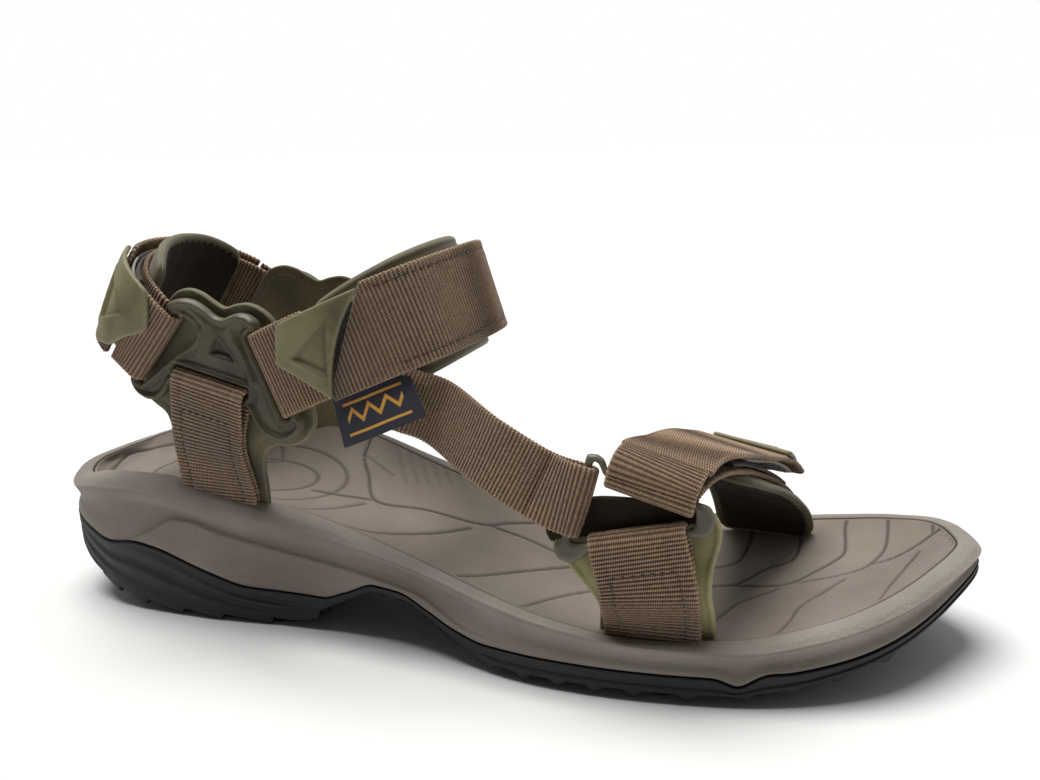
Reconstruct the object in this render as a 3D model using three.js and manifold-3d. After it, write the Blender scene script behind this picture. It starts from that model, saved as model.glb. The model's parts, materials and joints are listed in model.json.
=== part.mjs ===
// Strappy sport sandal, right foot.
// Units are millimetres.  +X points to the toe, +Y to the inner (medial) side
// of the foot, +Z up; the ground is z = 0 and the origin is the middle of the
// footprint on the ground.
import * as THREE from "three";
import Module from "manifold-3d";
const wasm = await Module();
wasm.setup();

// ---------------------------------------------------------------- sizes
const GAP = 0.3;              // clearance between neighbouring pieces
const WEB = 27;               // heel and instep webbing width
const TOE_WEB = 25;           // forefoot strap width
const SIDE_WEB = 20;          // side strap width at the ring
const SIDE_WEB_REAR = 20.5;    // side strap width at the instep seam
const ANCHOR = 27;            // anchor webbing width
const WEB_T = 1.5;            // webbing thickness
const CLOSURE_T = 1.8;        // closure strap thickness
const PATCH_T = 1.35;         // hook and loop tape thickness
const PAD_T = 4.4;            // collar and instep padding thickness
const HUB_PAD_T = 2.2;        // backing pad thickness
const TAB_T = 2.0;            // pull tab thickness
const BAR_HALF = 1.1;         // half width of a bar in the plane of its hub
const PLATE_HALF = 1.2;       // half thickness of the hubs and the ring
const FOLD_R = 2.7;           // middle radius of webbing folded round a bar
const SLOT = 3.1;             // slot opening beside a bar
const CLOSURE_W = 29.5;       // wide instep closure
const HEEL_CLOSURE_W = 28;    // heel closure
const TOE_CLOSURE_W = 27;     // forefoot closure
const COLLAR_W = 38;          // heel collar pad height
const INSTEP_PAD_W = 37;      // instep pad width
const TOE_PAD_W = 33;         // forefoot pad width
const RIM = 7;                // width of the bevelled rim round the footbed
const FOOTBED_T = 4;          // footbed thickness
const BED_SEAT = 0.8;         // room between footbed and the floor under it
const LUG_Z = 0;              // ground plane
const SHOCK_PAD_T = 5;        // heel shock pad thickness
const SHANK_T = 1.6;          // shank thickness
const SHANK_W = 22;           // shank width
const RUNGS = 44;             // sole sections, heel to toe
const ACROSS = 6;             // strips across the sole

// layer heights above the plane of the hub, outward positive
const LEG_IN = -(FOLD_R + WEB_T / 2);
const LEG_OUT = FOLD_R - WEB_T / 2;
const LOOP0 = -LEG_OUT + GAP, LOOP1 = LOOP0 + PATCH_T;
const HOOK0 = LOOP1 + GAP, HOOK1 = HOOK0 + PATCH_T;
const CLO0 = HOOK1 + GAP, CLO1 = CLO0 + CLOSURE_T;
const TAB0 = Math.max(CLO1, FOLD_R + WEB_T / 2) + GAP, TAB1 = TAB0 + TAB_T;
const PAD1 = LEG_IN - GAP, PAD0 = PAD1 - PAD_T;

const V = (x, y, z) => new THREE.Vector3(x, y, z);

// ---------------------------------------------------------------- tables
// piecewise smooth height table: [[x, value], ...]
function table(rows) {
  return (x) => {
    if (x <= rows[0][0]) return rows[0][1];
    for (let i = 1; i < rows.length; i++)
      if (x <= rows[i][0]) {
        const [x0, a] = rows[i - 1], [x1, b] = rows[i];
        const t = (x - x0) / (x1 - x0);
        return a + (b - a) * t;
      }
    return rows[rows.length - 1][1];
  };
}

// ---------------------------------------------------------------- solids
function solidOf(pos, tri) {
  let vol = 0;
  for (let i = 0; i < tri.length; i += 3) {
    const a = tri[i] * 3, b = tri[i + 1] * 3, c = tri[i + 2] * 3;
    vol += (pos[a] * (pos[b + 1] * pos[c + 2] - pos[b + 2] * pos[c + 1])
          - pos[a + 1] * (pos[b] * pos[c + 2] - pos[b + 2] * pos[c])
          + pos[a + 2] * (pos[b] * pos[c + 1] - pos[b + 1] * pos[c])) / 6;
  }
  if (vol < 0) for (let i = 0; i < tri.length; i += 3) [tri[i], tri[i + 1]] = [tri[i + 1], tri[i]];
  return new wasm.Manifold(new wasm.Mesh({
    numProp: 3, vertProperties: new Float32Array(pos), triVerts: new Uint32Array(tri) }));
}
function meshOf(name, solid, color) {
  const m = solid.getMesh();
  const g = new THREE.BufferGeometry();
  g.setAttribute("position", new THREE.BufferAttribute(new Float32Array(m.vertProperties), 3));
  g.setIndex(Array.from(m.triVerts));
  g.computeVertexNormals();
  const mesh = new THREE.Mesh(g, new THREE.MeshStandardMaterial({ color }));
  mesh.name = name;
  return mesh;
}
// a strip of rectangular sections: {c, w, q, a0, a1, t0, t1}
function strip(stations) {
  const pos = [], tri = [];
  for (const s of stations)
    for (const [a, t] of [[s.a0, s.t0], [s.a1, s.t0], [s.a1, s.t1], [s.a0, s.t1]]) {
      const p = s.c.clone().addScaledVector(s.w, a).addScaledVector(s.q, t);
      pos.push(p.x, p.y, p.z);
    }
  const n = stations.length;
  for (let i = 0; i + 1 < n; i++)
    for (let k = 0; k < 4; k++) {
      const a = i * 4 + k, b = i * 4 + (k + 1) % 4, c = a + 4, d = b + 4;
      tri.push(a, b, d, a, d, c);
    }
  tri.push(0, 2, 1, 0, 3, 2);
  const e = (n - 1) * 4;
  tri.push(e, e + 1, e + 2, e, e + 2, e + 3);
  return solidOf(pos, tri);
}
// a flat plate in the plane (o, u, v), between two heights along u x v
function plate(o, u, v, outline, h0, h1) {
  const shape = new THREE.Shape(outline.map(([a, b]) => new THREE.Vector2(a, b)));
  const flat = THREE.ShapeUtils.triangulateShape(shape.getPoints(), []);
  const n = u.clone().cross(v);
  const pos = [], tri = [], k = outline.length;
  for (const h of [h0, h1])
    for (const [a, b] of outline) {
      const p = o.clone().addScaledVector(u, a).addScaledVector(v, b).addScaledVector(n, h);
      pos.push(p.x, p.y, p.z);
    }
  const ccw = THREE.ShapeUtils.area(outline.map(([a, b]) => new THREE.Vector2(a, b))) > 0;
  for (const [a, b, c] of flat) {
    tri.push(c, b, a);
    tri.push(a + k, b + k, c + k);
  }
  for (let i = 0; i < k; i++) {
    const j = (i + 1) % k;
    if (ccw) tri.push(i, j, j + k, i, j + k, i + k);
    else tri.push(j, i, i + k, j, i + k, j + k);
  }
  return solidOf(pos, tri);
}
function smoothLoop(points, count) {
  const c = new THREE.CatmullRomCurve3(points.map(([a, b]) => V(a, b, 0)), true, "centripetal");
  return Array.from({ length: count }, (_, i) => { const p = c.getPoint(i / count); return [p.x, p.y]; });
}

// ---------------------------------------------------------------- bands
// a band is a centre line with a width direction carried along it
class Band {
  constructor(points, widths) {
    this.c = new THREE.CatmullRomCurve3(points, false, "centripetal");
    this.w = new THREE.CatmullRomCurve3(widths, false, "centripetal");
    this.n = points.length - 1;
    this.widths = widths;
    const M = 600;
    this.t = []; this.s = [];
    let prev = null, s = 0;
    for (let i = 0; i <= M; i++) {
      const t = i / M, p = this.c.getPoint(t);
      if (prev) s += p.distanceTo(prev);
      this.t.push(t); this.s.push(s); prev = p;
    }
    const at = (t) => { const f = t * M, i = Math.min(M - 1, Math.floor(f)); return this.s[i] + (this.s[i + 1] - this.s[i]) * (f - i); };
    this.s0 = at(1 / this.n);
    this.L = at(1 - 1 / this.n) - this.s0;
    this.grid = this.L / Math.round(this.L / 4);
  }
  // stations from a to b that neighbouring layers share
  between(a, b) {
    const out = [a], g = this.grid;
    for (let k = Math.ceil(a / g - 1e-6); k * g < b; k++) if (k * g - a > 0.4 && b - k * g > 0.4) out.push(k * g);
    out.push(b);
    return out;
  }
  tAt(s) {
    const a = s + this.s0;
    let lo = 0, hi = this.s.length - 1;
    while (hi - lo > 1) { const m = (lo + hi) >> 1; if (this.s[m] > a) hi = m; else lo = m; }
    const f = (a - this.s[lo]) / (this.s[hi] - this.s[lo]);
    return Math.min(1, Math.max(0, this.t[lo] + (this.t[hi] - this.t[lo]) * f));
  }
  at(s) {
    const t = this.tAt(s);
    const P = this.c.getPoint(t);
    const T = this.c.getPoint(Math.min(1, t + 0.002)).sub(this.c.getPoint(Math.max(0, t - 0.002))).normalize();
    const f = t * this.n, i = Math.min(this.n - 1, Math.floor(f));
    const W = this.widths[i].clone().lerp(this.widths[i + 1], f - i);
    W.addScaledVector(T, -W.dot(T)).normalize();
    const N = W.clone().cross(T).normalize();
    return { P, T, W, N };
  }
  // solid between two heights, two edges and two stations
  layer(s0, s1, a0, a1, h0, h1) {
    const g = (f, s, t) => (typeof f === "function" ? f(s, t) : f);
    const st = [];
    for (const s of this.between(s0, s1)) {
      const t = (s - s0) / (s1 - s0), { P, W, N } = this.at(s);
      st.push({ c: P, w: W, q: N, a0: g(a0, s, t), a1: g(a1, s, t), t0: g(h0, s, t), t1: g(h1, s, t) });
    }
    return strip(st);
  }
  // webbing folded round a bar at the start and/or the end
  folded({ stub0 = 0, stub1 = 0, half, h = () => FOLD_R, s0 = 0, s1 = this.L, grow = 0, half1 = half }) {
    const st = [], T2 = WEB_T / 2 + grow;
    const hw = (s) => (half + (half1 - half) * Math.min(1, Math.max(0, s / this.L))) + grow;
    const put = (s, n, q, dt = 0) => {
      const { P, W, N, T } = this.at(s);
      st.push({ c: P.clone().addScaledVector(N, n).addScaledVector(T, dt), w: W, q: q(N, T), a0: -hw(s), a1: hw(s), t0: -T2, t1: T2 });
    };
    const arc = 8;
    if (stub0 > 0) {
      for (const s of this.between(0, stub0).reverse().slice(0, -1)) put(s, h(s), (N) => N.clone());
      for (let i = 0; i <= arc; i++) {
        const a = Math.PI * i / arc, r = h(0);
        put(0, r * Math.cos(a), (N, T) => N.clone().multiplyScalar(Math.cos(a)).addScaledVector(T, -Math.sin(a)), -r * Math.sin(a));
      }
    } else put(s0, -h(s0), (N) => N.clone().negate());
    for (const s of this.between(s0, s1).slice(1, -1)) put(s, -h(s), (N) => N.clone().negate());
    if (stub1 > 0) {
      for (let i = 0; i <= arc; i++) {
        const a = Math.PI * (1 - i / arc), r = h(this.L);
        put(this.L, r * Math.cos(a), (N, T) => N.clone().multiplyScalar(Math.cos(a)).addScaledVector(T, Math.sin(a)), r * Math.sin(a));
      }
      for (const s of this.between(this.L - stub1, this.L).reverse().slice(1)) put(s, h(s), (N) => N.clone());
    } else put(s1, -h(s1), (N) => N.clone().negate());
    return strip(st);
  }
}
const mirrorY = (p) => V(p.x, -p.y, p.z);

// ---------------------------------------------------------------- planes
const HUB_O = V(-75, -35, 84), HUB_YAW = 0.098;
const HUB_U = V(Math.cos(HUB_YAW), -Math.sin(HUB_YAW), 0), HUB_V = V(0, 0, 1);
const hubUV = (x, z) => [(x - HUB_O.x) / HUB_U.x, z - HUB_O.z];
const hubP = (x, z) => { const [a, b] = hubUV(x, z); return HUB_O.clone().addScaledVector(HUB_U, a).addScaledVector(HUB_V, b); };
const hubD = (x, z) => HUB_U.clone().multiplyScalar(x).addScaledVector(HUB_V, z).normalize();

const RING_LEAN = 0.166;
const RING_O = V(60, -47, 52), RING_U = V(1, 0, 0), RING_V = V(0, Math.sin(RING_LEAN), Math.cos(RING_LEAN));
const ringUV = (x, z) => [x - RING_O.x, (z - RING_O.z) / RING_V.z];
const ringP = (x, z) => { const [a, b] = ringUV(x, z); return RING_O.clone().addScaledVector(RING_U, a).addScaledVector(RING_V, b); };
const ringD = (x, z) => RING_U.clone().multiplyScalar(x).addScaledVector(RING_V, z).normalize();

// bars: middle and direction in the (x, z) view of their plane
const REAR_BAR = { m: [-96.5, 92.2], d: [0.656, 0.755] };
const FRONT_BAR = { m: [-51.1, 85.4], d: [0.410, -0.912] };
const LOW_BAR = { m: [-75.8, 79.0], d: [0.975, -0.222] };
const RING_TOP = { m: [64.3, 60.2], d: [0.963, -0.270] };
const RING_LOW = { m: [61.2, 46.6], d: [0.975, 0.221] };
const RING_REAR = { m: [44.1, 56.0], d: [0.267, 0.963] };

// ---------------------------------------------------------------- sole
const SIDE_X = [-152.5, -145.1, -125.8, -88.8, -47.8, -8, 31, 65.8, 101.2, 126.9, 144.6, 152.5];
const LAT_Y = [0.5, -20.3, -31, -34.8, -33.4, -40.1, -50.0, -50.8, -44.3, -30.1, -6.4, 13.6];
const MED_Y = [0.5, 25.4, 33.5, 37.2, 33.0, 33.4, 44.0, 50.8, 49.1, 43, 30, 13.6];
const outlinePts = [];
for (let i = 0; i < SIDE_X.length; i++) outlinePts.push(V(SIDE_X[i], LAT_Y[i], 0));
for (let i = SIDE_X.length - 2; i > 0; i--) outlinePts.push(V(SIDE_X[i], MED_Y[i], 0));
const outline = new THREE.CatmullRomCurve3(outlinePts, true, "centripetal");
const N2 = RUNGS * 2;
const K = SIDE_X.length - 1;
const rim = [];
for (let i = 0; i < N2; i++) {
  const t = i / N2, p = outline.getPoint(t);
  const q = outline.getPoint((t + 0.001) % 1).sub(outline.getPoint((t + 0.999) % 1)).normalize();
  rim.push({ x: p.x, y: p.y, nx: -q.y, ny: q.x, k: i <= RUNGS ? i / RUNGS : (N2 - i) / RUNGS, lateral: i < RUNGS });
}
{ // normals point inward
  const c = rim[4], toMid = -c.x * 0 + (0 - c.y) * c.ny + (-100 - c.x) * c.nx;
  if (toMid < 0) for (const r of rim) { r.nx *= -1; r.ny *= -1; }
}
const crestLat = table([[-152.5, 40.5], [-143.8, 39.5], [-125, 42.5], [-105, 43], [-80, 39], [-56.5, 35], [-30, 31], [-8, 27.5], [15, 23], [40.5, 19], [65, 16.5], [89, 16.6], [110, 19.5], [130, 24], [147, 28], [152.5, 29.6]]);
const crestMed = table([[-152.5, 40.5], [-143.8, 42], [-125, 45], [-105, 46.5], [-80, 47.5], [-56.5, 46.5], [-30, 40], [-8, 33.5], [15, 26.5], [40.5, 21.8], [65, 20.5], [89, 21.5], [110, 24.2], [130, 27.8], [147, 31], [152.5, 29.6]]);
const lift = table([[-152.5, 2.5], [-105, 4], [-60, 4], [-38, 2.5], [-18, 0.5], [5, -1], [45, -1.2], [80, 0.5], [110, 1.5], [152.5, 1.5]]);
const cup = table([[-152.5, 0], [-146, 1.5], [-138, 5], [-125, 8], [-100, 8.5], [-70, 7], [-40, 4.5], [-20, 3], [20, 2.6], [60, 2.4], [110, 2.4], [135, 2], [145, 0.8], [152.5, 0]]);
const rubberTop = table([[-152.5, 32], [-146, 29], [-134.7, 25], [-125, 22.6], [-113, 24], [-105, 23], [-87, 17.3], [-69, 12.4], [-44, 11.6], [-35, 14.6], [-24, 19], [-15, 18.6], [-5, 14.6], [4, 10.8], [15, 8.5], [39, 8.5], [78, 8.3], [94, 9.1], [117, 12.5], [134, 17.2], [150, 24.4], [152.5, 26]]);
const rubberBase = table([[-152.5, 25], [-146, 19], [-138, 13], [-129, 9], [-117, 5.5], [-105, 3.6], [-88, 2.8], [-64, 2.8], [-52.8, 4], [-44.7, 7.2], [-35, 12.2], [-24, 16.5], [-15, 16.1], [-5, 12.1], [4, 7.2], [13.6, 4], [22, 3], [36, 2.8], [78, 2.8], [90, 3.4], [104, 5.5], [117, 8.7], [125, 11], [136, 15], [144, 18.5], [152.5, 23]]);
const crestOf = (r, i) => {
  if (i === 0) return crestLat(-152.5);
  if (i === RUNGS) return crestLat(152.5);
  return (r.lateral ? crestLat : crestMed)(r.x);
};
const loop = (inset, zf) => rim.map((r, i) => V(r.x + r.nx * inset, r.y + r.ny * inset, zf(r, i)));
// stack of loops closed by a ladder of strips at the bottom and at the top
function stack(loops, dipLow, dipTop) {
  const pos = [], tri = [];
  const add = (p) => { pos.push(p.x, p.y, p.z); return pos.length / 3 - 1; };
  const idx = loops.map((l) => l.map(add));
  for (let a = 0; a + 1 < idx.length; a++)
    for (let i = 0; i < N2; i++) {
      const j = (i + 1) % N2;
      tri.push(idx[a][i], idx[a][j], idx[a + 1][j], idx[a][i], idx[a + 1][j], idx[a + 1][i]);
    }
  const cap = (ids, pts, dip, up) => {
    const rows = [[ids[0]]];
    for (let r = 1; r < RUNGS; r++) {
      const A = pts[r], B = pts[N2 - r], row = [ids[r]];
      for (let j = 1; j < ACROSS; j++) {
        const v = j / ACROSS, p = A.clone().lerp(B, v);
        p.z -= dip((A.x + B.x) / 2) * (1 - Math.pow(Math.abs(2 * v - 1), 3));
        row.push(add(p));
      }
      row.push(ids[N2 - r]);
      rows.push(row);
    }
    rows.push([ids[RUNGS]]);
    const face = (a, b, c) => (up ? tri.push(a, b, c) : tri.push(a, c, b));
    for (let r = 0; r < RUNGS; r++) {
      const A = rows[r], B = rows[r + 1];
      if (A.length === 1) for (let j = 0; j < ACROSS; j++) face(A[0], B[j], B[j + 1]);
      else if (B.length === 1) for (let j = 0; j < ACROSS; j++) face(A[j], B[0], A[j + 1]);
      else for (let j = 0; j < ACROSS; j++) { face(A[j], B[j], B[j + 1]); face(A[j], B[j + 1], A[j + 1]); }
    }
  };
  cap(idx[0], loops[0], dipLow, false);
  cap(idx[idx.length - 1], loops[loops.length - 1], dipTop, true);
  return solidOf(pos, tri);
}
const flat = () => 0;
const edgeZ = (r, i) => crestOf(r, i) + lift(r.x);
let midsole = stack([
  loop(2.6, (r) => rubberTop(r.x) + GAP),
  loop(1.0, (r, i) => rubberTop(r.x) + (crestOf(r, i) - rubberTop(r.x)) * 0.35),
  loop(0.4, (r, i) => rubberTop(r.x) + (crestOf(r, i) - rubberTop(r.x)) * 0.75),
  loop(0, crestOf),
  loop(1.8, (r, i) => crestOf(r, i) + lift(r.x) * 0.5 + 0.6),
  loop(RIM, edgeZ),
  loop(RIM, (r, i) => edgeZ(r, i) - FOOTBED_T - BED_SEAT),
], flat, cup);
let footbed = stack([
  loop(RIM + GAP, (r, i) => edgeZ(r, i) - FOOTBED_T),
  loop(RIM + GAP, (r, i) => edgeZ(r, i) - 0.4),
], cup, cup);
let outsole = stack([
  loop(2.8, (r) => rubberBase(r.x)),
  loop(1.2, (r) => rubberBase(r.x) + 1.0),
  loop(0.9, (r) => Math.max(rubberTop(r.x) - 0.8, rubberBase(r.x) + 1.3)),
  loop(2.6, (r) => rubberTop(r.x)),
], flat, flat);

// middle of the footbed floor, heel to toe
const floorAt = table(Array.from({ length: RUNGS - 1 }, (_, k) => {
  const r = k + 1, A = rim[r], B = rim[N2 - r], x = (A.x + B.x) / 2;
  const z = (edgeZ(A, r) + edgeZ(B, N2 - r)) / 2 - FOOTBED_T - BED_SEAT - cup(x);
  return [x, z];
}));
const floorTilt = table(Array.from({ length: RUNGS - 1 }, (_, k) => {
  const r = k + 1, A = rim[r], B = rim[N2 - r];
  return [(A.x + B.x) / 2, (edgeZ(B, N2 - r) - edgeZ(A, r)) / (B.y - A.y)];
}));
const midY = (x) => 1 + 5 * Math.max(0, x / 150);

// tread lugs, slanted blocks pointing down from the rubber
const halfWidth = table(SIDE_X.map((x, i) => [x, Math.min(-LAT_Y[i], MED_Y[i])]));
function lug(x, y0, y1, len, skew, zb) {
  const o = V(x, 0, 0), top = rubberBase(x) + 1.4;
  const y = [y0, y1], s = skew;
  return plate(V(0, 0, 0), V(1, 0, 0), V(0, 1, 0), [
    [x - len / 2, y[0]], [x + len / 2, y[0]], [x + len / 2 + s, y[1]], [x - len / 2 + s, y[1]]], zb, top);
}
const LUG_ROWS = [[-119, 3.0], [-108, 0.8], [-97, 0], [-86, 0], [-75, 0], [-64, 0], [24, 0.4], [36, 0], [48, 0], [60, 0], [72, 0], [84, 0.4], [96, 1.8], [108, 4.0]];
for (const [x, zb] of LUG_ROWS) {
  const h = halfWidth(x) - 5, fore = x > 0, len = fore ? 5.5 : 6.5, c = midY(x) * 0.6;
  const cuts = fore ? [[-h + c, -h * 0.38 + c], [-h * 0.28 + c, h * 0.28 + c], [h * 0.38 + c, h + c]] : [[-h, -h * 0.12], [h * 0.12, h]];
  cuts.forEach(([a, b], i) => {
    const skew = fore ? (i === 0 ? 3 : i === 2 ? -3 : 0) : (i === 0 ? 4 : -4);
    outsole = outsole.add(lug(x, a, b, len, skew, zb + LUG_Z));
  });
}

// shank and shock pad lie in pockets under the footbed
const SHANK_X0 = -62, SHANK_X1 = 32;
function shankSolid(grow, raise) {
  const st = [];
  for (let i = 0; i <= 10; i++) {
    const x = SHANK_X0 - grow + (SHANK_X1 - SHANK_X0 + 2 * grow) * i / 10, z = floorAt(x) - GAP;
    st.push({ c: V(x, midY(x), z), w: V(0, 1, floorTilt(x)).normalize(), q: V(0, -floorTilt(x), 1).normalize(), a0: -SHANK_W / 2 - grow, a1: SHANK_W / 2 + grow, t0: -SHANK_T - grow, t1: raise });
  }
  return strip(st);
}
const SHOCK_X = -108, SHOCK_RX = 24, SHOCK_RY = 17;
function shockSolid(grow, raise) {
  const pts = Array.from({ length: 32 }, (_, i) => { const a = i / 32 * 2 * Math.PI; return [SHOCK_X + (SHOCK_RX + grow) * Math.cos(a), 1 + (SHOCK_RY + grow) * Math.sin(a)]; });
  const z = Math.min(floorAt(SHOCK_X - 20), floorAt(SHOCK_X), floorAt(SHOCK_X + 20)) - GAP;
  return plate(V(0, 0, 0), V(1, 0, 0), V(0, 1, 0), pts, z - SHOCK_PAD_T - grow, z + raise);
}
midsole = midsole.subtract(shankSolid(GAP, 4)).subtract(shockSolid(GAP, 6));

// ---------------------------------------------------------------- hub and ring
const HUB_OUT = [
  [-106.1, 82.7], [-107.2, 79.8], [-105.3, 75.9], [-101, 73.6], [-96.2, 74.1], [-92.6, 77.2], [-90.2, 81.1],
  [-62.1, 74.7], [-60.2, 69.8], [-57, 66.2], [-51.4, 64.1], [-46.1, 65.4], [-42.8, 69], [-42.8, 71.7], [-44.4, 73.1],
  [-55.8, 98.8], [-56.5, 100.9], [-58.7, 102.5], [-62, 103.3], [-65.4, 102.6], [-68.7, 101], [-71.9, 101.8],
  [-75.3, 104.4], [-78.9, 106.4], [-82.6, 107], [-86.2, 106.5], [-89, 105.3], [-89.9, 104], [-88.3, 103.2]];
const HUB_WINDOW = [[-104.9, 80.9], [-86.4, 102.1], [-83.4, 101.2], [-79.9, 99.5], [-78.2, 97.1], [-79.2, 94.4], [-82.5, 91.8], [-87.5, 89.4], [-94, 84.7], [-102.5, 78.8]];
const LOBES = 14.1;                     // half length of a slot
function slotOf(bar, uv, dir, o, u, v) { // slot beside a bar, on its `dir` side
  const [m0, m1] = uv(...bar.m), d = bar.d, e = [-d[1] * dir, d[0] * dir];
  const q = [];
  for (const [a, b] of [[-1, 0], [1, 0], [1, 1], [-1, 1]]) {
    const l = a * (bar.half ?? LOBES), h = BAR_HALF + b * SLOT;
    q.push([m0 + d[0] * l + e[0] * h, m1 + d[1] * l + e[1] * h]);
  }
  return plate(o, u, v, q, -4, 4);
}
function hubSolid() {
  let s = plate(HUB_O, HUB_U, HUB_V, HUB_OUT.map(([x, z]) => hubUV(x, z)), -PLATE_HALF, PLATE_HALF);
  for (const [bar, dir] of [[REAR_BAR, -1], [FRONT_BAR, -1], [LOW_BAR, 1]])
    s = s.subtract(slotOf(bar, hubUV, dir, HUB_O, HUB_U, HUB_V));
  s = s.subtract(plate(HUB_O, HUB_U, HUB_V, HUB_WINDOW.map(([x, z]) => hubUV(x, z)), -4, 4));
  const pocket = [[-72.4, 96.4], [-75, 90.2], [-65, 88]].map(([x, z]) => hubUV(x, z));
  return s.subtract(plate(HUB_O, HUB_U, HUB_V, pocket, 0, 4));
}
const hubPadOut = smoothLoop([
  [-106.6, 86], [-109.4, 80.2], [-107.2, 75], [-102.4, 71.2], [-97.5, 68.5], [-93.5, 65], [-79, 62.5], [-63, 61], [-56, 61], [-49.5, 61.8],
  [-44.3, 64.8], [-41.4, 69.3], [-42, 75], [-47.2, 84.5], [-52, 94.5], [-53.6, 100], [-57.2, 103.4], [-62.5, 105.4], [-67.2, 105], [-71.6, 103.9], [-75, 105.4],
  [-79.9, 108.2], [-84.5, 109.3], [-89, 108.3], [-92.2, 105.8], [-94.4, 102.4], [-97, 97.8], [-102, 92]], 52);

// ---------------------------------------------------------------- anchors
function anchorBand(plane, bar, foot, P, D) {
  const W = D(bar.d[0], bar.d[1]), T = D(-bar.d[1], bar.d[0]), B = P(...bar.m);
  const low = foot.clone(), deep = foot.clone().add(V(0, 0, -16));
  const mid = B.clone().addScaledVector(T, -14).lerp(low, 0.12);
  const flatW = V(W.x, 0, W.z * 0.6).normalize();
  return new Band([deep.clone().add(V(0, 0, -6)), deep, low, mid, B, B.clone().addScaledVector(T, 7)],
    [flatW, flatW, flatW, W, W, W]);
}
const latAnchor = anchorBand("hub", LOW_BAR, V(-79.6, -29.3, 44), hubP, hubD);
const toeAnchor = anchorBand("ring", RING_LOW, V(64.2, -43.8, 20.5), ringP, ringD);
const legGap = (band) => (s) => {
  const near = WEB_T / 2 + GAP / 2 + 0.05, f = Math.min(1, Math.max(0, (s - (band.L - 13)) / 13));
  return near + (FOLD_R - near) * f * f * (3 - 2 * f);
};
const mirrored = (solid) => {
  const m = solid.getMesh(), p = Array.from(m.vertProperties);
  for (let i = 1; i < p.length; i += 3) p[i] *= -1;
  return solidOf(p, Array.from(m.triVerts));
};
function anchorWeb(band, start, grow) {
  return band.folded({ stub1: band.L - start, half: ANCHOR / 2, h: legGap(band), s0: start, grow });
}
function tongue(band, start, half, t, grow) {
  const h = legGap(band);
  return band.layer(start - grow, band.L + 2, (s) => -half - grow - 2.5 * Math.max(0, 1 - s / 30), (s) => half + grow + 2.5 * Math.max(0, 1 - s / 30),
    (s) => -(h(s) + WEB_T / 2 + GAP + 0.25 + t) - grow, (s) => -(h(s) + WEB_T / 2 + GAP + 0.25) + grow);
}
const TONGUE = 16.5;
const latAnchorWeb = anchorWeb(latAnchor, 4, 0), medAnchorWeb = mirrored(latAnchorWeb);
const hubPlate = plate(HUB_O, HUB_U, HUB_V, hubPadOut.map(([x, z]) => hubUV(x, z)), PAD1 - HUB_PAD_T, PAD1);
const latHubPad = hubPlate.add(tongue(latAnchor, 7, TONGUE, HUB_PAD_T, 0));
const medHubPad = mirrored(latHubPad);
const slotCut = (band, start, half, top) => {
  const leg = WEB_T + GAP / 2 + 0.05, back = leg + GAP + 0.25 + HUB_PAD_T;
  return band.layer(start - 3, top, -ANCHOR / 2 - 0.45, ANCHOR / 2 + 0.45, -leg - 1, leg + 0.75)
    .add(band.layer(start - 0.6, top, (s) => -half - 0.4 - 2.5 * Math.max(0, 1 - s / 30), (s) => half + 0.4 + 2.5 * Math.max(0, 1 - s / 30), -back - 0.35, -leg + 0.7));
};
const hubSlotCut = slotCut(latAnchor, 7, TONGUE, 34);
const TOE_START = 8.5;
const toeAnchorWeb = anchorWeb(toeAnchor, TOE_START, 0);
const toePadT = HUB_PAD_T;
const toePlate = plate(RING_O, RING_U, RING_V, smoothLoop([
  [35, 50.5], [34, 45.6], [37.5, 41], [44.5, 36], [60, 34.5], [77, 36], [81, 42], [82.8, 49], [80.8, 54.2], [74, 56.4], [60, 57], [45, 56]], 32).map(([x, z]) => ringUV(x, z)),
  PAD1 - toePadT, PAD1);
const latToePad = toePlate.add(tongue(toeAnchor, 9.5, 16, toePadT, 0));
const toeSlotCut = slotCut(toeAnchor, 9.5, 16, 26);

// ---------------------------------------------------------------- heel strap
const symmetric = (half, halfW, apex, apexW) => {
  const pts = [...half, apex, ...half.slice().reverse().map(mirrorY)];
  const ws = [...halfW, apexW, ...halfW.slice().reverse().map(mirrorY)];
  return new Band(pts, ws);
};
const hd = REAR_BAR.d, heelW = hubD(hd[0], hd[1]), heelT = hubD(-hd[1], hd[0]), heelB = hubP(...REAR_BAR.m);
const heelBand = symmetric(
  [heelB.clone().addScaledVector(heelT, -6), heelB, heelB.clone().addScaledVector(heelT, 7), V(-110.5, -27.5, 102.6), V(-117.5, -15, 107)],
  [heelW, heelW, heelW, V(0.56, 0.03, 0.83), V(0.50, 0.02, 0.87)],
  V(-119.8, 0, 108.2), V(0.47, 0, 0.88));
const HL = heelBand.L;
const heelStrap = heelBand.folded({ stub0: 9, stub1: 9, half: WEB / 2 });
const ease = (t) => t * t * (3 - 2 * t);
const collar = heelBand.layer(15, HL - 15,
  (s, t) => -COLLAR_W / 2 + 3 * Math.pow(Math.abs(2 * t - 1), 4), (s, t) => COLLAR_W / 2 + 1 - 4 * Math.pow(Math.abs(2 * t - 1), 3), PAD0, PAD1);
const heelLoop = heelBand.layer(17, HL * 0.66, -11.5, 11.5, LOOP0, LOOP1);
const HEEL_HINGE = HL * 0.72, HEEL_TIP = 2;
const heelHook = heelBand.layer(20, HL * 0.6, -11, 11, HOOK0, HOOK1);
const heelFixed = heelBand.layer(HEEL_HINGE + 0.25, HL - 9.5, -HEEL_CLOSURE_W / 2, HEEL_CLOSURE_W / 2, CLO0, CLO1);
const heelSlant = table([[13, -9], [36, HEEL_CLOSURE_W / 2]]);
const heelFlap = heelBand.layer(13, HEEL_HINGE - 0.25, -HEEL_CLOSURE_W / 2, (s) => heelSlant(s), CLO0, CLO1);
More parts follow.
